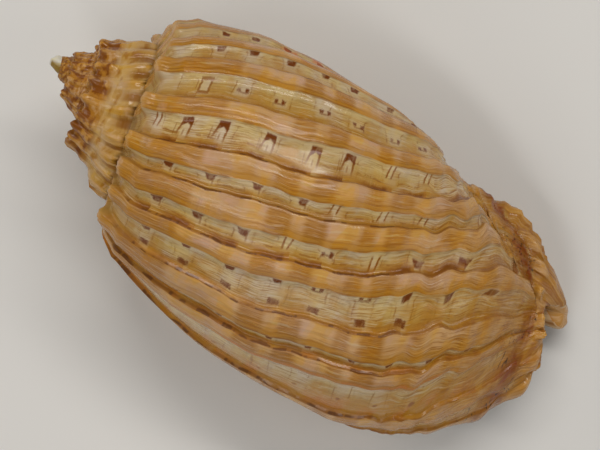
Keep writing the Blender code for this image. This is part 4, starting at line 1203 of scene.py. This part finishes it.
    # front furrow, canal ridge and the last stretch of the canal
    mot = N.noise(q * 2.4, s * 0.06, 6.0, 1.0, 3.0, 0.6)
    neck = N.step(v, 0.68, 0.775)
    neckc = N.mix(N.mix(GOLD, TILE, 0.5), BAR, N.step(mot, 0.44, 0.60))
    neckc = N.mix(neckc, BARD, N.step(fine2, 0.50, 0.62) * 0.60)
    neckc = N.mix(neckc, PALE, N.step(fine, 0.46, 0.34) * 0.55)
    col = N.mix(col, neckc, neck * N.lerp(0.40, 0.80, N.step(mot, 0.4, 0.6)))
    furrow = N.step((v - 0.800 + (spot - 0.5) * 0.03).abs(), 0.026, 0.006)
    col = N.mix(col, N.mix(RUST, BARD, N.step(mot, 0.42, 0.60)), furrow * N.lerp(0.50, 0.95, N.step(blur, 0.38, 0.55)))
    ridge = N.step(v, 0.818, 0.838)
    arch = N.noise(q * 9.0, s * 0.03, 8.0, 1.0, 2.0, 0.6)
    ridgec = N.mix(N.mix(GOLD, PEACH, 0.35), BAR, N.step(arch, 0.46, 0.60) * 0.75)
    ridgec = N.mix(ridgec, PALE, N.step(N.noise(q * 5.0, s * 0.05, 12.0, 1.0, 1.0), 0.54, 0.66) * 0.55)
    ridgec = N.mix(ridgec, PALE, on * N.step((v - 0.870).abs(), 0.035, 0.010) * 0.50)
    ridgec = N.mix(ridgec, BARD, N.step(fine2, 0.56, 0.68) * 0.5)
    ridgec = N.mix(ridgec, RUST, (1.0 - on) * N.step(blur, 0.44, 0.56) * 0.45)
    col = N.mix(col, ridgec, ridge * 0.90)
    # near-black patches scattered along the furrow
    furrow_dark = N.step(N.noise(q * 7.0, s * 0.26, 15.0, 1.0, 2.0), 0.59, 0.66) * N.step((v - 0.802).abs(), 0.050, 0.012) * N.step(N.noise(q * 0.9, s * 0.02, 16.0, 1.0, 1.0), 0.44, 0.54)
    col = N.mix(col, FURROW_DARK, furrow_dark * 0.85)

    # older whorls: brown ribs and a glossy cream band above the suture
    sp = N.noise(q * 1.3, v * 20.0, t * 3.0, 1.0, 3.0, 0.6)
    sw = N.noise(q * 0.8 + v * 14.0, v * 22.0 - q * 0.5, 14.0, 1.0, 3.0, 0.5)
    spirec = N.mix(N.mix(BAR, GOLD, 0.25), N.mix(GOLD, PALE, 0.35), on * 0.7)
    spirec = N.mix(spirec, POOL, N.step(sp, 0.47, 0.59) * 0.85)
    spirec = N.mix(spirec, PALE, N.step(sp, 0.44, 0.34) * 0.65)
    spirec = N.mix(spirec, BARD, N.step(fine, 0.58, 0.72) * 0.35)
    milk = N.mix(N.mix(CREAM, GOLD, 0.58), N.mix(PALE, CREAM, 0.5), N.step(sw, 0.45, 0.55) * 0.85)
    milk = N.mix(milk, N.mix(GOLD, BARD, 0.45), N.step(sw, 0.44, 0.36) * 0.80)
    milk = N.mix(milk, RUST, N.step(N.noise(q * 0.7, v * 18.0, 19.0, 1.0, 2.0), 0.58, 0.68) * 0.45)
    fu = foot - foot.floor()
    blade = N.step((fu - 0.26).abs(), 0.25, 0.17)
    gap = N.step((fu - 0.80).abs(), 0.20, 0.08).max(N.step((fu + 0.03).abs(), 0.06, 0.02))
    low = N.step(v + (cloud - 0.5) * 0.03, 0.205, 0.262)
    milk = N.mix(milk, N.mix(GOLD, CREAM, 0.30), blade * low * 0.80)
    milk = N.mix(milk, PALE, N.step((fu - 0.36).abs(), 0.09, 0.03) * low * 0.60)
    milk = N.mix(milk, BARD, gap * N.step(v, 0.215, 0.275) * 0.80)
    milk = N.mix(milk, OLIVE, N.step(v, 0.286, 0.301) * 0.55)
    band = N.step(v + (cloud - 0.5) * 0.07, 0.150, 0.205) * N.step(t, 2.05, 1.85)
    spirec = N.mix(spirec, milk, band)
    spirec = N.mix(spirec, N.mix(GOLD, BARD, N.step(sp, 0.40, 0.56)), N.step(t, 2.3, 2.9) * 0.8)
    spirec = N.mix(spirec, HORN, N.step(t, 3.5, 3.8))
    spirec = N.mix(spirec, (0.78, 0.74, 0.62), N.step(t, 4.20, 4.32) * 0.95)
    col = N.mix(col, spirec, N.step(t, 1.0, 1.04) * N.step(v, 0.3035, 0.3015))

    # uneven tone: honey-coloured patches and greyer ones, drawn out along the growth lines
    hue = N.noise(q * 1.2, s * 0.042, 44.0, 1.0, 2.0, 0.55)
    col = N.tint(col, (1.05, 0.97, 0.52), N.step(hue, 0.49, 0.60) * N.lerp(0.42, 0.95, on))
    col = N.tint(col, (0.95, 0.98, 1.35), N.step(hue, 0.47, 0.39) * N.lerp(0.40, 0.85, on))

    # inner-lip glaze on the underside, with its chestnut blotches
    gl = N.mix(N.mix(INSIDE, GOLD, 0.25), BARD, N.step(N.noise(q * 0.5, s * 0.012, 21.0, 1.0, 2.0), 0.47, 0.60) * 0.85)
    col = N.mix(col, gl, glz * N.step(zone, 0.5, 0.4) * N.step(v, 0.29, 0.31))
    # inside of the last whorl and the pillar
    ins = N.mix(INSIDE, (0.36, 0.19, 0.085), N.step(N.noise(q * 0.45, s * 0.010, 23.0, 1.0, 2.0), 0.50, 0.60) * 0.6)
    ins = N.mix(ins, PALE, N.step(fine, 0.55, 0.70) * 0.35)
    col = N.mix(col, ins, N.step(zone, 0.35, 0.9))
    col = N.mix(col, N.mix(WHITE, PEACH, 0.35), N.step((zone - 0.5).abs(), 0.42, 0.25) * 0.7)
    facet = N.mix(N.mix(PEACH, GOLD, 0.45), PALE, N.step(blur, 0.42, 0.60) * 0.6)
    facet = N.mix(facet, ORANGE, N.step(zone, 1.9, 1.2) * 0.6)
    col = N.mix(col, facet, N.step(zone, 1.02, 1.25))

    N.nt.links.new(col, N.bsdf.inputs["Base Color"])
    outer = N.step(zone, 0.5, 0.2)
    old = N.step(t, 1.0, 1.1) * N.step(v, 0.3035, 0.3015)
    rough_n = N.lerp(0.14, 0.28, N.step(fine, 0.38, 0.62)) + N.step(blur, 0.46, 0.60) * 0.07
    rough_n = rough_n - N.step(glz, 0.3, 0.8) * 0.06 - old * 0.04 + line * 0.25
    N.nt.links.new((rough_n.max(0.12)).s, N.bsdf.inputs["Roughness"])
    N.bsdf.inputs["IOR"].default_value = 1.50
    N.bsdf.inputs["Specular IOR Level"].default_value = 0.18
    N.bsdf.inputs["Coat Weight"].default_value = 0.32
    N.bsdf.inputs["Coat Roughness"].default_value = 0.11
    # fine growth striae, crossed by finer threads
    stri = (q * (2.0 * math.pi * 9.0) + N.noise(q * 2.0, s * 0.03, 30.0, 1.0, 1.0) * 5.0).sin() * 0.5 + 0.5
    cross = N.noise(s * 0.50, q * 5.0, 33.0, 1.0, 2.0, 0.6)
    woven = N.step(N.noise(q * 1.1, s * 0.035, 36.0, 1.0, 1.0), 0.42, 0.62)
    height = (stri * 0.40 + fine2 * 0.35 + fine * 0.6 + cross * N.lerp(0.20, 1.60, woven)) * outer * N.step(glz, 0.8, 0.2)
    height = height * (1.0 - old * 0.75) + N.noise(q * 2.6, v * 42.0, 40.0, 1.0, 2.0) * old * 2.6
    bump = N.nt.nodes.new("ShaderNodeBump")
    bump.inputs["Strength"].default_value = 0.75
    bump.inputs["Distance"].default_value = 0.00005
    N.nt.links.new(height.s, bump.inputs["Height"])
    N.nt.links.new(bump.outputs[0], N.bsdf.inputs["Normal"])
    return N.mat


shell.data.materials.append(shell_material())
bpy.context.scene.view_settings.view_transform = "Standard"

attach(shell, "root")
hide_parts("shell")

# ------------------------------------------------------ floor, lights, camera
bpy.ops.mesh.primitive_plane_add(size=4.0, location=(0, 0, 0))
floor = bpy.context.object
floor.name = "floor"
fm = bpy.data.materials.new("floor")
fm.use_nodes = True
fb = fm.node_tree.nodes["Principled BSDF"]
fb.inputs["Base Color"].default_value = (0.72, 0.71, 0.69, 1)
fb.inputs["Roughness"].default_value = 0.8
floor.data.materials.append(fm)

world = bpy.data.worlds.new("studio")
world.use_nodes = True
world.node_tree.nodes["Background"].inputs["Color"].default_value = (1.0, 0.98, 0.95, 1)
world.node_tree.nodes["Background"].inputs["Strength"].default_value = 0.14
bpy.context.scene.world = world


def area(name, at, size, power, colour=(1, 1, 1)):
    data = bpy.data.lights.new(name, "AREA")
    data.shape = "RECTANGLE"
    data.size, data.size_y = size
    data.energy = power
    data.color = colour
    ob = bpy.data.objects.new(name, data)
    ob.location = at
    ob.rotation_euler = (Vector((0, 0, 0.01)) - Vector(at)).to_track_quat("-Z", "Y").to_euler()
    bpy.context.scene.collection.objects.link(ob)
    return ob


area("key", (-0.04, 0.25, 0.34), (0.42, 0.07), 0.93, (1.0, 0.97, 0.92))
area("top", (-0.06, -0.17, 0.38), (0.36, 0.06), 0.32, (1.0, 0.98, 0.95))
area("fill", (0.06, -0.36, 0.22), (0.30, 0.30), 0.32, (1.0, 0.98, 0.96))
area("rim", (-0.35, -0.05, 0.18), (0.16, 0.16), 0.20, (1.0, 0.97, 0.93))
area("side", (0.36, 0.10, 0.22), (0.2, 0.2), 0.22, (1.0, 0.97, 0.93))

# the camera looks down at the back of the shell, from 2600 parts away
TILT_P, TILT_L, ROLL, DIST, ZOOM = -3.0, 3.0, 27.0, 2600.0, 0.9917
OFF_X, OFF_Y = 291.4 - 300.0, 227.0 - 225.0
M = np.array(Matrix.Rotation(math.radians(TILT_L), 3, "X") @ Matrix.Rotation(math.radians(TILT_P), 3, "Y"))
r = math.radians(ROLL)
right = M.T @ np.array([math.cos(r), math.sin(r), 0])
up = M.T @ np.array([-math.sin(r), math.cos(r), 0])
back = M.T @ np.array([0.0, 0.0, 1.0])
centre = np.array([0.0, 0.0, 100.0])
eye = (centre + back * DIST - right * OFF_X / ZOOM + up * OFF_Y / ZOOM) * SCALE_M
cam_data = bpy.data.cameras.new("camera")
cam_data.sensor_width = 36.0
cam_data.lens = DIST * ZOOM / 600.0 * 36.0
cam_data.clip_start = 0.01
cam_data.clip_end = 20.0
cam = bpy.data.objects.new("camera", cam_data)
cam.matrix_world = Matrix(((right[0], up[0], back[0], eye[0]), (right[1], up[1], back[1], eye[1]),
                           (right[2], up[2], back[2], eye[2]), (0, 0, 0, 1)))
bpy.context.scene.collection.objects.link(cam)
bpy.context.scene.camera = cam
